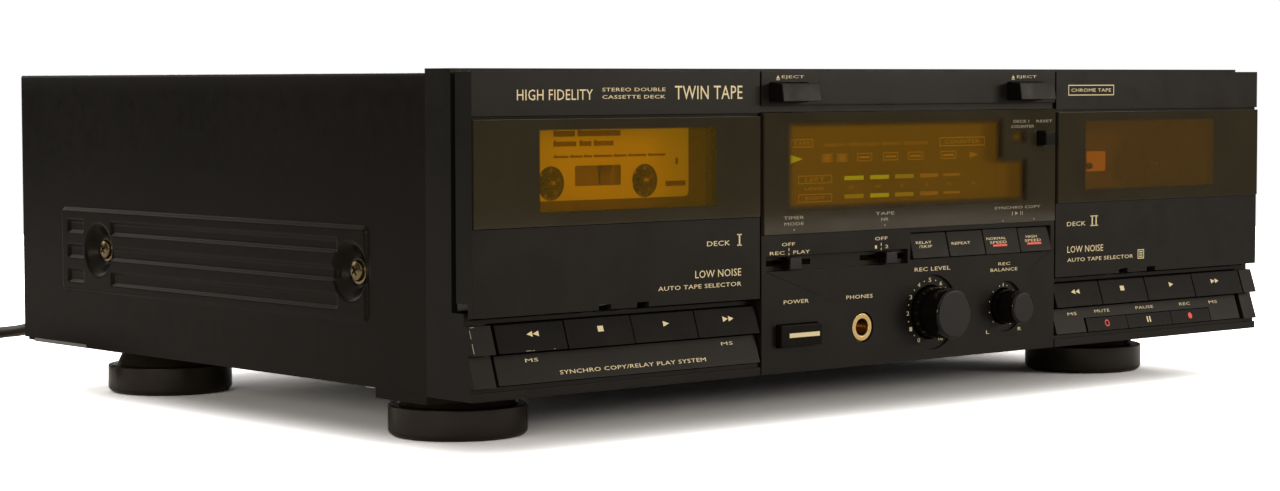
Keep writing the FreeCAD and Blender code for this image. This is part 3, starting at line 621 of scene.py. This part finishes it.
def relief(behind, height):
    """The pressed pattern of a side: how far it stands out of the sheet's plane."""
    rise = step_up(inside_box(behind, height, PLATEAU, PLATEAU_CORNER) / SLOPE)
    for start, end in GROOVE_SPANS:
        for top in GROOVE_TOPS:
            box = (start, end, top - GROOVE_HIGH, top)
            rise -= GROOVE_DEPTH * step_up(inside_box(behind, height, box, 1) / SLOPE)
    for screw in SCREWS:
        reach = math.hypot(behind - screw, height - SCREW_HEIGHT)
        dish = step_up((DISH_MOUTH - reach) / (DISH_MOUTH - DISH_FLAT))
        rise += (1 - DISH_DEPTH - rise) * dish
    return rise


def ladder(stops):
    """Positions from (start, step) pairs, each step used up to the next start."""
    places = []
    for (start, step), (end, _) in zip(stops[:-1], stops[1:]):
        count = max(1, round((end - start) / step))
        places += [start + (end - start) * i / count for i in range(count)]
    return places + [stops[-1][0]]


def cover_point(along, behind, lift):
    """A point of the cover, lift inwards from its outer face.

    along is a place on the folded profile: side (or share of the top), height and corner turn."""
    side, height, turn = along
    base = REAR_BASE if behind > REAR_BASE_START else COVER_BASE
    height = max(height, base)
    if turn is None:
        return at(side * (HALF_WIDTH + relief(behind, height) - lift), behind, height)
    radius = CORNER - lift if lift < CORNER else 0
    x = side * (HALF_WIDTH - CORNER)
    if abs(side) == 1:
        x += side * radius * math.cos(turn)
    return at(x, behind, COVER_TOP - CORNER + radius * math.sin(turn))


def steel_cover():
    """The folded cover, its sides pressed into a raised panel with grooves and screw dishes."""
    heights = ladder([(COVER_BASE, 1.2), (23.6, 6), (40.5, 0.45), (77, 8), (COVER_TOP - CORNER, 1)])
    depths = ladder([(COVER_START, 6), (55, 0.5), (80, 9), (225, 0.5), (249.6, 0.2), (249.8, 0.6),
                     (270, 5), (COVER_BACK, 1)])
    corner = [math.pi / 2 * i / 5 for i in range(1, 6)]
    profile = [(-1, z, None) for z in heights] + [(-1, 0, t) for t in corner]
    profile += [(x / 10, 0, math.pi / 2) for x in range(-9, 10, 3)]
    profile += [(1, 0, t) for t in reversed(corner)] + [(1, z, None) for z in reversed(heights)]
    vertices = [cover_point(along, behind, lift)
                for lift in (0, SHEET) for behind in depths for along in profile]
    faces = []
    wide, deep = len(profile), len(depths)
    layer = wide * deep
    for row in range(deep - 1):
        for column in range(wide - 1):
            a = row * wide + column
            quad = [a, a + 1, a + wide + 1, a + wide]
            faces += [quad, [i + layer for i in quad[::-1]]]
    # the cut edges of the sheet: first corner, step, number of faces, way round
    for first, step, count, way in ((0, 1, wide - 1, 1), (layer - wide, 1, wide - 1, -1),
                                    (0, wide, deep - 1, -1), (wide - 1, wide, deep - 1, 1)):
        for a in range(first, first + step * count, step):
            faces.append([a, a + step, a + step + layer, a + layer][::-way])
    item = mesh_piece("steel_cover", vertices, faces, "case_paint", "deck", True)
    item.data.set_sharp_from_angle(angle=math.radians(50))
    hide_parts("top_cover")


# where the screws' flanges seat: half the distance across the sides, and behind the front
SIDE_SEAT, REAR_SEAT = 206.75, 298.05
# the back panel's screws (across, height), and their size beside the side screws'
REAR_SCREWS = [(-196, 112), (-196, 46), (0, 120), (196, 112), (196, 46), (60, 30)]
REAR_SCREW_SCALE = 0.66
# a screw's profile: distance from its axis and height over the surface under its flange
SCREW_PROFILE = [(0, -1), (1.6, -1), (1.6, 0.05), (4.55, 0.05), (4.7, 0.2), (4.65, 0.5),
                 (3.75, 0.6), (3.7, 1.15), (3.3, 1.75), (2.4, 2.1), (1.2, 2.25), (0, 2.3)]
# one bar of the cross recess: length, width, depth, and the height of its middle
CROSS_BAR, CROSS_HEIGHT = (3.6, 0.75, 2), 2.15


def screw_heads():
    """Flanged pan heads with a cross recess, at the cover's sides and on the back panel."""
    spots = []
    for side in (-1, 1):
        for behind in SCREWS:
            place = at(side * SIDE_SEAT, behind, SCREW_HEIGHT)
            spots.append((place, Vector((side, 0, 0)), 1, 35))
    for x, z in REAR_SCREWS:
        spots.append((at(x, REAR_SEAT, z), Vector((0, 1, 0)), REAR_SCREW_SCALE, 10))
    head = bmesh.new()
    knife = bmesh.new()
    for place, axis, scale, turn in spots:
        profile = [(radius * scale, height * scale) for radius, height in SCREW_PROFILE]
        vertices, faces = lathe(profile, place, axis)
        points = [head.verts.new(v) for v in vertices]
        for face in faces:
            head.faces.new([points[i] for i in face])
        aim = axis.to_track_quat("Z", "Y").to_matrix().to_4x4()
        for angle in (turn, turn + 90):
            spin = Matrix.Rotation(math.radians(angle), 4, "Z")
            shape = Matrix.Diagonal([size * scale * MM for size in CROSS_BAR] + [1])
            lift = Matrix.Translation((0, 0, CROSS_HEIGHT * scale * MM))
            bmesh.ops.create_cube(knife, size=1,
                                  matrix=Matrix.Translation(place) @ aim @ spin @ lift @ shape)
    bmesh.ops.remove_doubles(head, verts=head.verts, dist=0.00001)
    bmesh.ops.recalc_face_normals(head, faces=head.faces)
    item = mesh_piece("screw_heads", [], [], "screw_metal", "deck")
    head.to_mesh(item.data)
    cutter_mesh = bpy.data.meshes.new("cross_cutter")
    knife.to_mesh(cutter_mesh)
    cut_away(item, add_object("cross_cutter", cutter_mesh), True)
    item.data.shade_smooth()
    item.data.set_sharp_from_angle(angle=math.radians(35))
    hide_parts("case_screws")


# the shown runs of the bottom plate's edge: start, end, low, high
PLATE_RUNS = ((55.6, 62, 19.5, 20.6), (62, 224, 19.8, 20.3), (224, 252, 19.6, 20.4),
              (252, 293, 19.6, 21.6))


def bottom_plate_edge():
    """The plated edge of the bottom plate, seen below the cover's sides."""
    boxes = [(side * 208, side * 208.9, *run) for side in (-1, 1) for run in PLATE_RUNS]
    mesh_piece("bottom_plate_edge", *box_shapes(boxes), "zinc_metal", "deck")


# -------- legends on the front

# faces in millimetres behind the front plane
HEADER = 0
PANE_FACE = -0.87
POWER_BUTTON_FACE = -2.6
DISH_FLOOR = 1.2


def leaning_face(front, lean, base, rise):
    """A face that stands at front at its base and leans back by lean over its rise."""
    return lambda height: front + lean * (height - base) / rise


ROW_FRONT, ROW_LEAN = -0.7, 3.2
high_row_face = leaning_face(ROW_FRONT, ROW_LEAN, 34.6, 9.5)
low_row_face = leaning_face(ROW_FRONT, ROW_LEAN, 24.1, 9.7)
centre_key_face = leaning_face(-1.1, 2.5, 57.7, 9.6)


def transport_icon(ink, kind, x, z, high=1.9):
    low, top = z - high / 2, z + high / 2
    if kind == "stop":
        ink.bar(x - 1.25, x + 1.25, low, top)
    elif kind == "play":
        ink.triangle(x - 1.3, x + 1.4, low, top)
    else:
        way = 1 if kind == "fast_forward" else -1
        for start in (-2.6, 0.1):
            ink.triangle(x + way * start, x + way * (start + 2.5), low, top)


def numeral_one(ink, x, low, top):
    """A Roman one with serifs."""
    ink.bar(x - 0.32, x + 0.32, low, top)
    for z in (low, top - 0.4):
        ink.bar(x - 1.1, x + 1.1, z, z + 0.4)


def legend(name, surface, *words, body=None, material="legend_gold"):
    """Ink that starts with words, each given with its left, right, low and high edge."""
    ink = Print("legend_" + name, material, body or name, surface)
    for row in words:
        ink.text(*row)
    return ink


def door_legends():
    """Words on the header and the lower part of each door."""
    ink = legend(
        "door_1", HEADER,
        ("HIGH FIDELITY", -191, -158.2, 117.9, 122.3),
        ("STEREO DOUBLE", -154, -125.4, 121, 122.5),
        ("CASSETTE DECK", -154, -125.4, 118.5, 120),
        ("TWIN TAPE", -121, -89, 117.7, 123.5),
        ("DECK", -106, -95, 66.4, 68.5),
        ("LOW NOISE", -111.6, -89.6, 55.3, 58.5),
        ("AUTO TAPE SELECTOR", -128.9, -89.5, 51.8, 53.6))
    numeral_one(ink, -90.4, 66.2, 70.4)
    ink.make()
    ink = legend(
        "door_2", HEADER,
        ("CHROME TAPE", 89.4, 113.8, 119.9, 121.5), ("DECK", 87.3, 98.6, 66.6, 68.7),
        ("LOW NOISE", 87.6, 109.6, 55.9, 59.1),
        ("AUTO TAPE SELECTOR", 87.6, 128.4, 52.4, 54.2))
    for x in (102.7, 105.1):
        numeral_one(ink, x, 66.4, 70.6)
    ink.frame(87.6, 115.6, 118.6, 122.8, 0.35)
    ink.frame(131.4, 135.4, 52, 55.8, 0.35)
    for z in (53, 53.9, 54.8):
        ink.bar(132.2, 134.6, z - 0.2, z + 0.2)
    ink.make()


# the middles of the transport icons of each deck, and the heights of the marks
ICON_PLACES = {1: (-183.8, -154.1, -124.3, -94.8), 2: (94, 123.2, 154.7, 183.8)}
ICON_HEIGHT = 40.4
RECORD_MARK_HEIGHT = 26.9
# the keys under the display: lines of words with their ends, and the ends of a red mark
CENTRE_KEY_WORDS = {
    "relay_skip_key": ([("RELAY", 0.9, 9.4), ("/SKIP", 2.2, 9.4)], None),
    "repeat_key": ([("REPEAT", 20.3, 30.8)], None),
    "copy_normal_key": ([("NORMAL", 40.3, 51.5), ("SPEED", 42, 51.5)], (43.4, 51.5)),
    "copy_high_key": ([("HIGH", 63.2, 69.6), ("SPEED", 62.2, 71.6)], (63.3, 71.6)),
}


def key_legends():
    """Icons and words on the keys; each rides with its key."""
    for deck, row in ICON_PLACES.items():
        for kind, x in zip(("rewind", "stop", "play", "fast_forward"), row):
            body = "%s_key_%d" % (kind, deck)
            ink = legend(body, high_row_face)
            transport_icon(ink, kind, x, ICON_HEIGHT)
            ink.make()
    ink = legend("record_mute_key", low_row_face, material="legend_red")
    ink.ring(112.8, RECORD_MARK_HEIGHT, 1.35, 0.9)
    ink.make()
    ink = legend("record_key", low_row_face, material="legend_red")
    ink.disc(166.2, RECORD_MARK_HEIGHT, 1.25)
    ink.make()
    ink = legend("pause_key", low_row_face)
    for x in (138.4, 140):
        ink.bar(x - 0.4, x + 0.4, 25.8, 28.1)
    ink.make()
    for body, (lines, mark) in CENTRE_KEY_WORDS.items():
        ink = legend(body, centre_key_face)
        z = 63.6 if len(lines) == 2 else 62.6
        for label, x0, x1 in lines:
            ink.text(label, x0, x1, z - 0.6, z + 0.6)
            z -= 1.5
        ink.make()
        if mark:
            ink = Print("mark_" + body, "legend_red", body, centre_key_face)
            ink.bar(*mark, 60.5, 61.3)
            ink.make()
    ink = Print("mark_power_button", "legend_gold", "power_button", POWER_BUTTON_FACE)
    ink.bar(-68.1, -52.9, 32.1, 33.7)
    ink.make()


# the knobs' axes, the radii of their scales, and the angle between two numbers
LEVEL_KNOB, LEVEL_SCALE = (9.5, 37.1), 12.1
BALANCE_KNOB, BALANCE_SCALE = (51, 37), 8.2
FIRST_NUMBER, NUMBER_STEP = 240, 30


def fascia_legends():
    """Words on the fixed parts of the front."""
    ink = legend(
        "low_row", low_row_face,
        ("SYNCHRO COPY/RELAY PLAY SYSTEM", -172.9, -106.5, 26, 27.6),
        ("MUTE", 106.6, 116, 31.1, 32.5), ("PAUSE", 132.6, 143.8, 31.1, 32.5),
        ("REC", 161, 168, 31.1, 32.5), body="deck")
    for x in (-186.6, -97.7, 90, 180.6):
        ink.text("MS", x, x + 5.6, 30.9, 32.3)
    ink.make()
    ink = legend(
        "centre", HEADER,
        ("EJECT", -69.6, -58.4, 125.1, 126.7), ("EJECT", 57, 68.6, 125.1, 126.7),
        ("OFF", -69.5, -63, 65, 66.5), ("REC", -75.5, -68.2, 62, 63.5),
        ("PLAY", -63.8, -55.5, 62, 63.5), ("OFF", -21.6, -15, 65.3, 66.8),
        ("1", -21.6, -20.6, 62.2, 63.7), ("2", -16.2, -14.5, 62.2, 63.7),
        ("REC LEVEL", -0.2, 19.4, 52.6, 54.4), ("REC", 46.8, 53.6, 52.9, 54.3),
        ("BALANCE", 42.3, 57.8, 50.6, 52.1), ("POWER", -68.6, -56, 44, 45.7),
        ("PHONES", -36.6, -22.8, 44.1, 45.8), ("L", 39.9, 41.7, 26.7, 28.3),
        ("R", 58.3, 60.2, 27, 28.6), body="deck")
    for x in (-72.4, 53.9):
        ink.shape([(x, 125.4), (x + 1.8, 125.4), (x + 0.9, 126.7)])
        ink.bar(x, x + 1.8, 124.9, 125.15)
    for x in (-66, -18.3):
        ink.bar(x - 0.16, x + 0.16, 63.3, 64.4)
        ink.bar(x - 0.16, x + 0.16, 61.8, 62.6)
    ink.make()
    ink = legend("dial_scales", DISH_FLOOR, body="deck")
    for number in range(11):
        turn = math.radians(FIRST_NUMBER - NUMBER_STEP * number)
        x, z = polar(*LEVEL_KNOB, LEVEL_SCALE, turn)
        wide = 2.3 if number == 10 else 1.45
        ink.text(str(number), x - wide / 2, x + wide / 2, z - 0.95, z + 0.95)
        if number < 10:
            turn -= math.radians(NUMBER_STEP / 2)
            ink.disc(*polar(*LEVEL_KNOB, LEVEL_SCALE, turn), 0.25, 10)
        ink.disc(*polar(*BALANCE_KNOB, BALANCE_SCALE, turn), 0.25, 10)
    ink.bar(50.8, 51.2, 44.6, 46)
    ink.make()
    ink = legend(
        "display_plate", PANE_FACE,
        ("TIMER", -69.4, -59.2, 74.6, 76), ("MODE", -69.1, -59.4, 72.4, 73.8),
        ("TAPE", -22.2, -12.2, 74.7, 76.1), ("NR", -19.2, -15.4, 72.5, 73.9),
        ("SYNCHRO COPY", 43.5, 70.2, 74.7, 76), ("DECK I", 54.2, 63.2, 108.1, 109.4),
        ("COUNTER", 52.9, 66.2, 106.1, 107.4), ("RESET", 67.6, 77, 108.1, 109.3),
        body="deck", material="legend_dim")
    ink.bar(53.6, 54, 72.3, 73.8)
    ink.triangle(55.4, 57, 72.3, 73.8)
    for x in (58.6, 59.6):
        ink.bar(x - 0.15, x + 0.15, 72.3, 73.8)
    for x, z in ((-64.3, 70.9), (-17.3, 71), (48.3, 70.4), (66.4, 70.5)):
        ink.disc(x, z, 0.3, 8)
    ink.make()


# -------- the lit display

DISPLAY_FACE = 4.5


def display_content():
    """Lit segments and the scale printed on the display tube."""
    scale = Print("display_scale", "display_print", "deck", DISPLAY_FACE)
    scale.frame(-61, -49.4, 100.4, 103.4, 0.35)
    scale.text("TAPE", -59.6, -50.8, 101.1, 102.7)
    for x0, x1, word in ((-43.6, -32.9, "SEARCH"), (-30.6, -14.9, "INTRO CHECK"),
                         (-13.2, -3.1, "REPEAT"), (-1.4, 11.6, "REVERSE")):
        scale.text(word, x0, x1, 100.4, 101.8)
    scale.frame(18, 43.6, 99.6, 103, 0.35)
    scale.text("COUNTER", 21, 40.6, 100.4, 102.2)
    for x0, x1 in ((-44.8, -39.6), (-37, -31.8), (-26.6, -18.7), (-12.8, -4.7), (0.7, 8.9),
                   (18.9, 27.3)):
        scale.frame(x0, x1, 94.8, 97.8, 0.3)
        scale.bar(x0 + 1.2, x1 - 1.2, 95.9, 96.6)
    for z, word in ((88.6, "LEFT"), (81.8, "RIGHT")):
        scale.frame(-57, -39.7, z - 1.5, z + 1.5, 0.3)
        scale.text(word, -53.4, -43.4, z - 0.8, z + 0.8)
    scale.text("LEVEL", -53.6, -43.2, 84.5, 85.9)
    for x, word in ((-30, "-20"), (-16, "-10"), (-3, "-5"), (11, "0"), (23, "+3"),
                    (37, "+8")):
        wide = 1.2 * len(word)
        scale.text(word, x - wide / 2, x + wide / 2, 84.5, 85.9)
    scale.make()
    green, fading, dim = [
        Print("display_segments_" + shade, "display_" + shade, "deck", DISPLAY_FACE)
        for shade in ("green", "fading", "dim")]
    green.triangle(-61, -54.6, 94.6, 97.8)
    spans = ((-33.2, -23.1), (-19.6, -9.6), (-6.3, 3.8), (7.4, 17.2), (20.2, 29.6))
    rows = ((88.7, (green, green, fading, dim, dim)), (81.9, (fading, green, fading, dim, dim)))
    for z, inks in rows:
        for (x0, x1), ink in zip(spans, inks):
            half = 0.45 if x0 > 19 else 0.75
            ink.bar(x0, x1, z - half, z + half)
    dim.triangle(35, 40, 94.9, 97.3)
    for x0, x1 in ((-44, -40.4), (-36.2, -32.6)):
        dim.bar(x0, x1, 95.2, 97.4)
    for ink in (green, fading, dim):
        ink.make()


def display_rim_painted_glow():
    """The rim between the display tube and the edge of its opening, given the tube's glow as
    painted light in place of the light it would reflect.
    """
    boxes = [(50, 63.9, 4.42, 4.48, 77, 110.4), (63.7, 63.9, 2.35, 4.42, 77, 110.4)]
    # painted glow: the rim wears the tube's emissive material
    mesh_piece("display_rim_painted_glow", *box_shapes(boxes), "display_glass", "deck")


# -------- cassette and wells

CASSETTE_FACE = 14.05
LABEL_THICK = 0.12
# the middle of each well, and the hubs' height and distance from it
WELL_MIDDLE = {1: -144, 2: 138}
CASSETTE_X = WELL_MIDDLE[1]
HUB_HEIGHT = 89.8
HUB_REACH = 21.25
HUB_HOLE = 5.9
# three printed lines of the label: low edge, height, and the ends of each bar
LABEL_LINES = (
    (105.4, 2.6, (-164.1, -154.6, -153.4, -134)),
    (102.1, 2.2, (-164.1, -154, -152.6, -147.2, -146.2, -137.2)),
    (98.3, 1, (-164.1, -157.5, -156.8, -151.2, -150.6, -146.9, -146.2, -137.8, -137.1, -131.2,
               -130.5, -122, -121.3, -113.1)),
)


def cassette_label():
    """A paper label with holes for the hubs and the tape window, and bars in place of words."""
    sheet = Print("cassette_label", "label_paper", "door_1", CASSETTE_FACE, LABEL_THICK)
    sheet.shape(rounded_outline(-185.8, -102.2, 83.8, 117.4, 2))
    label = sheet.make()
    cutter = Print("label_cutter", "label_paper", "door_1", CASSETTE_FACE + 1, 3)
    for way in (-1, 1):
        cutter.disc(CASSETTE_X + way * HUB_REACH, HUB_HEIGHT, HUB_HOLE, 40)
    cutter.shape(rounded_outline(CASSETTE_X - 10.6, CASSETTE_X + 10.2, HUB_HEIGHT - 1.2,
                                 HUB_HEIGHT + 5.8, 0.4))
    cut_away(label, cutter.make())
    ink = Print("cassette_label_print", "label_ink", "door_1", CASSETTE_FACE - LABEL_THICK)
    for low, tall, ends in LABEL_LINES:
        for x0, x1 in zip(ends[::2], ends[1::2]):
            ink.bar(x0, x1, low + 0.12 * tall, low + 0.88 * tall)
            ink.bar(x0 + 0.3, x0 + 1.1, low + 0.88 * tall, low + 1.1 * tall)
    ink.text("1", -108.4, -107.2, 95, 97.8)
    ink.bar(-113.1, -103.6, 87.6, 89.4)
    ink.make()


# a hub tooth: its front and rear, and radius and half width at the root and the tip
TOOTH_DEPTH = (15.4, 21.4)
TOOTH_SHAPE = ((5.6, 0.9), (3.75, 0.45))


def hub_teeth():
    """Six teeth inside each hub of the cassette."""
    vertices, faces = [], []
    for way in (-1, 1):
        cx = CASSETTE_X + way * HUB_REACH
        for tooth in range(6):
            turn = math.radians(60 * tooth + 15)
            out = Vector((math.cos(turn), 0, math.sin(turn)))
            side = Vector((-math.sin(turn), 0, math.cos(turn)))
            start = len(vertices)
            for behind in TOOTH_DEPTH:
                for radius, half in TOOTH_SHAPE:
                    for sign in (-1, 1):
                        corner = out * radius + side * (half * sign)
                        vertices.append(at(cx + corner.x, behind, HUB_HEIGHT + corner.z))
            faces += [[start + i for i in face] for face in BOX_FACES]
    mesh_piece("hub_teeth", vertices, faces, "reel_plastic", "door_1")


# a spindle tip's profile: distance from its axis and height over its foot
TIP_PROFILE = [(0, 0), (1.5, 0), (1.3, 5), (0.95, 5.9), (0.5, 6.25), (0, 6.35)]
TIP_FOOT = 18.2


def spindle_tips():
    """The bright rounded tips of the reel spindles, standing in the hubs."""
    for deck, middle in WELL_MIDDLE.items():
        for side, way in (("left", -1), ("right", 1)):
            place = at(middle + way * HUB_REACH, TIP_FOOT, HUB_HEIGHT)
            shape = lathe(TIP_PROFILE, place, Vector((0, -1, 0)), 20)
            body = "reel_spindle_%d_%s" % (deck, side)
            mesh_piece("tip_" + body, *shape, "bright_metal", body, True)


def pale_edge_marks():
    """Pale marks printed along the edges of the left key rows."""
    pale_marks = Print("edge_wear_filler", "legend_dim", "deck", high_row_face)
    for box in ((-209.85, -209.6, 35.4, 38.6), (-209.8, -209.6, 40.2, 42.9),
                (-209.3, -207.6, 43.75, 43.95)):
        pale_marks.bar(*box)
    pale_marks.make()
    pale_marks = Print("edge_wear_key", "legend_dim", "rewind_key_1", high_row_face)
    for x0, x1 in ((-188, -185.8), (-185.2, -184.4), (-176, -175.5)):
        pale_marks.bar(x0, x1, 34.95, 35.12)
    pale_marks.make()


PLATE_FACE = 27


def well_lamps():
    """The lit window between the spindles of each mechanism plate."""
    for number, x in WELL_MIDDLE.items():
        lamp = Print("well_lamp_%d" % number, "lamp_amber", "deck", PLATE_FACE, 0.3)
        lamp.shape(rounded_outline(x - 6.6, x + 5, 87, 95.2, 0.6))
        lamp.make()


# -------- back

REAR_FACE = 298
# a socket ring's section: radius and how far it stands out of the back panel
RING_SECTION = ((7.2, 0), (7.2, 1), (6.8, 1.4), (4.7, 1.4), (4.35, 1), (4.35, 0))


def socket_rings():
    """Coloured rings round the line sockets."""
    for z, slot in ((107.5, "jack_white"), (92.5, "jack_red")):
        for x in (134, 152):
            shape = lathe(RING_SECTION, at(x, REAR_FACE, z), Vector((0, 1, 0)), 40, True)
            mesh_piece("ring_%d_%s" % (x, slot), *shape, slot, "deck", True)


# -------- mains cord

# from the strain relief down to the coil
CORD_ROUTE = [(-170, 330, 27), (-170, 350, 22), (-170.6, 372, 16.4), (-172.5, 396, 14),
              (-177.5, 417, 7.6), (-190, 435, 3)]
COIL = (-212, 402)
TURN_POINTS = 16
# the radius and height of the innermost, lowest turn, and the distance between turns
FIRST_RADIUS, FIRST_HEIGHT, PITCH_OF_TURNS = 25, 2.6, 5
# how much wider the coil's first points are, so that the cord comes in smoothly
RUN_IN = (4, 2, 0.7)
# the slots of the wound turns, in the order the cord fills them: column and layer
SLOTS = [(2, 0), (1, 0), (0, 0), (0, 1), (0, 2), (1, 2), (1, 1), (2, 1), (2, 2)]


def place_in_coil(turn):
    column, layer = SLOTS[turn]
    return FIRST_RADIUS + PITCH_OF_TURNS * column, FIRST_HEIGHT + PITCH_OF_TURNS * layer


def coil_points():
    """Turns anticlockwise from above, from the far side round to the left side.

    Each turn keeps its slot for a quarter, then moves over to the next one."""
    points = []
    steps = 8 * TURN_POINTS + TURN_POINTS // 4
    for step in range(steps + 1):
        turn, part = divmod(step, TURN_POINTS)
        radius, height = place_in_coil(turn)
        if part > TURN_POINTS // 4 and turn + 1 < len(SLOTS):
            share = step_up((part - TURN_POINTS / 4) / (TURN_POINTS * 0.75))
            next_radius, next_height = place_in_coil(turn + 1)
            radius += (next_radius - radius) * share
            height += (next_height - height) * share
        if step < len(RUN_IN):
            radius += RUN_IN[step]
        angle = math.radians(90 + 360 * step / TURN_POINTS)
        points.append((*polar(*COIL, radius, angle), height))
    return points


# from the coil to the plug
LEAD = [(-247, 396, 12.4), (-247, 384, 9.4), (-247, 372, 7.7), (-247, 362, 7.6)]
CORD_LENGTH, CORD_DIAMETER = 1.68, 0.005


def power_cord():
    route = CORD_ROUTE + coil_points() + LEAD
    curve = bpy.data.curves.new("mains_cord", "CURVE")
    curve.dimensions = "3D"
    spline = curve.splines.new("NURBS")
    spline.points.add(len(route) - 1)
    for place, target in zip(route, spline.points):
        target.co = (*at(*place), 1)
    spline.order_u = 3
    spline.use_endpoint_u = True
    spline.resolution_u = 5
    curve.bevel_depth = CORD_DIAMETER / 2
    curve.bevel_resolution = 5
    curve.use_fill_caps = True
    curve.materials.append(MATERIALS["cord_jacket"])
    item = add_object("mains_cord", curve)
    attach(item, "deck")
    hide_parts("power_cord", "cord_coil")


# -------- stage

# area lights in metres and watts: place, target, width and height, power, colour
AREA_LIGHTS = {
    "key": ((1.3, -1.55, 0.4), (0, -0.1, 0.07), (0.8, 0.2), 7.4, (1, 0.9, 0.78)),
    "fill": ((-1.6, -0.75, 0.38), (-0.2, 0, 0.04), (1, 0.35), 5.2, (1, 0.9, 0.78)),
    "backdrop": ((-0.6, 1.5, 0.55), (-0.1, 0, 0.08), (1.2, 0.5), 2.5, (1, 0.94, 0.86)),
    "rear": ((0.9, 1.6, 0.6), (0, 0.15, 0.08), (1, 0.5), 9, (1, 0.94, 0.86)),
}
SUN_STRENGTH, SUN_COLOUR, SUN_ANGLE = 1.6, (1, 0.95, 0.88), math.radians(140)
SUN_AIM = Vector((-0.15, 0.15, -1))
# the world's strength for light and reflections, and as the camera sees it
AMBIENT, BACKGROUND = 0.06, 1
FLOOR_REACH = 1.2
# the floor's two shades as a reflector of light, and as the camera sees them
FLOOR_PAPER = (0.88, 0.86, 0.84), (0.92, 0.9, 0.88)
FLOOR_SEEN = (3.82, 3.9, 4.09), (3.92, 4.04, 4.26)


def aim(item, direction):
    item.rotation_euler = direction.to_track_quat("-Z", "Y").to_euler()


def make_lights():
    """A broad soft sun from above and four soft panels."""
    sun = bpy.data.lights.new("overhead", "SUN")
    sun.energy, sun.color, sun.angle = SUN_STRENGTH, SUN_COLOUR, SUN_ANGLE
    aim(add_object("overhead", sun), SUN_AIM)
    for name, (place, target, size, power, colour) in AREA_LIGHTS.items():
        data = bpy.data.lights.new(name, "AREA")
        data.shape = "RECTANGLE"
        data.size, data.size_y = size
        data.energy = power
        data.color = colour
        item = add_object(name, data)
        item.location = place
        aim(item, Vector(target) - Vector(place))
        item.visible_camera = False


def make_world():
    """A white background for the camera that lights the deck only a little."""
    world = bpy.data.worlds.new("studio")
    bpy.context.scene.world = world
    graph = Graph(world, "ShaderNodeOutputWorld")
    seen = graph.add("ShaderNodeLightPath").outputs["Is Camera Ray"]
    strength = graph.spread(seen, AMBIENT, BACKGROUND, 0, 1)
    graph.finish(graph.add("ShaderNodeBackground", Color=(1, 1, 1), Strength=strength))


def make_floor():
    """A pale paper floor, which the camera sees bright."""
    mesh = bpy.data.meshes.new("floor")
    low, high = -FLOOR_REACH, FLOOR_REACH
    corners = [(low, low, 0), (high, low, 0), (high, high, 0), (low, high, 0)]
    mesh.from_pydata(corners, [], [(0, 1, 2, 3)])
    floor = add_object("floor", mesh)
    graph = new_graph("floor")
    seen = graph.add("ShaderNodeLightPath").outputs["Is Camera Ray"]
    shades = [graph.blend(graph.noise(400, 2), *pair) for pair in (FLOOR_PAPER, FLOOR_SEEN)]
    shader = graph.add("ShaderNodeBsdfDiffuse", Color=graph.blend(seen, *shades))
    mesh.materials.append(graph.finish(shader))


make_camera()
power_cord()
dress_nodes()
steel_cover()
screw_heads()
bottom_plate_edge()
door_legends()
key_legends()
fascia_legends()
display_content()
display_rim_painted_glow()
cassette_label()
hub_teeth()
spindle_tips()
pale_edge_marks()
well_lamps()
socket_rings()
bpy.context.scene.view_settings.view_transform = "Standard"
make_world()
make_floor()
make_lights()
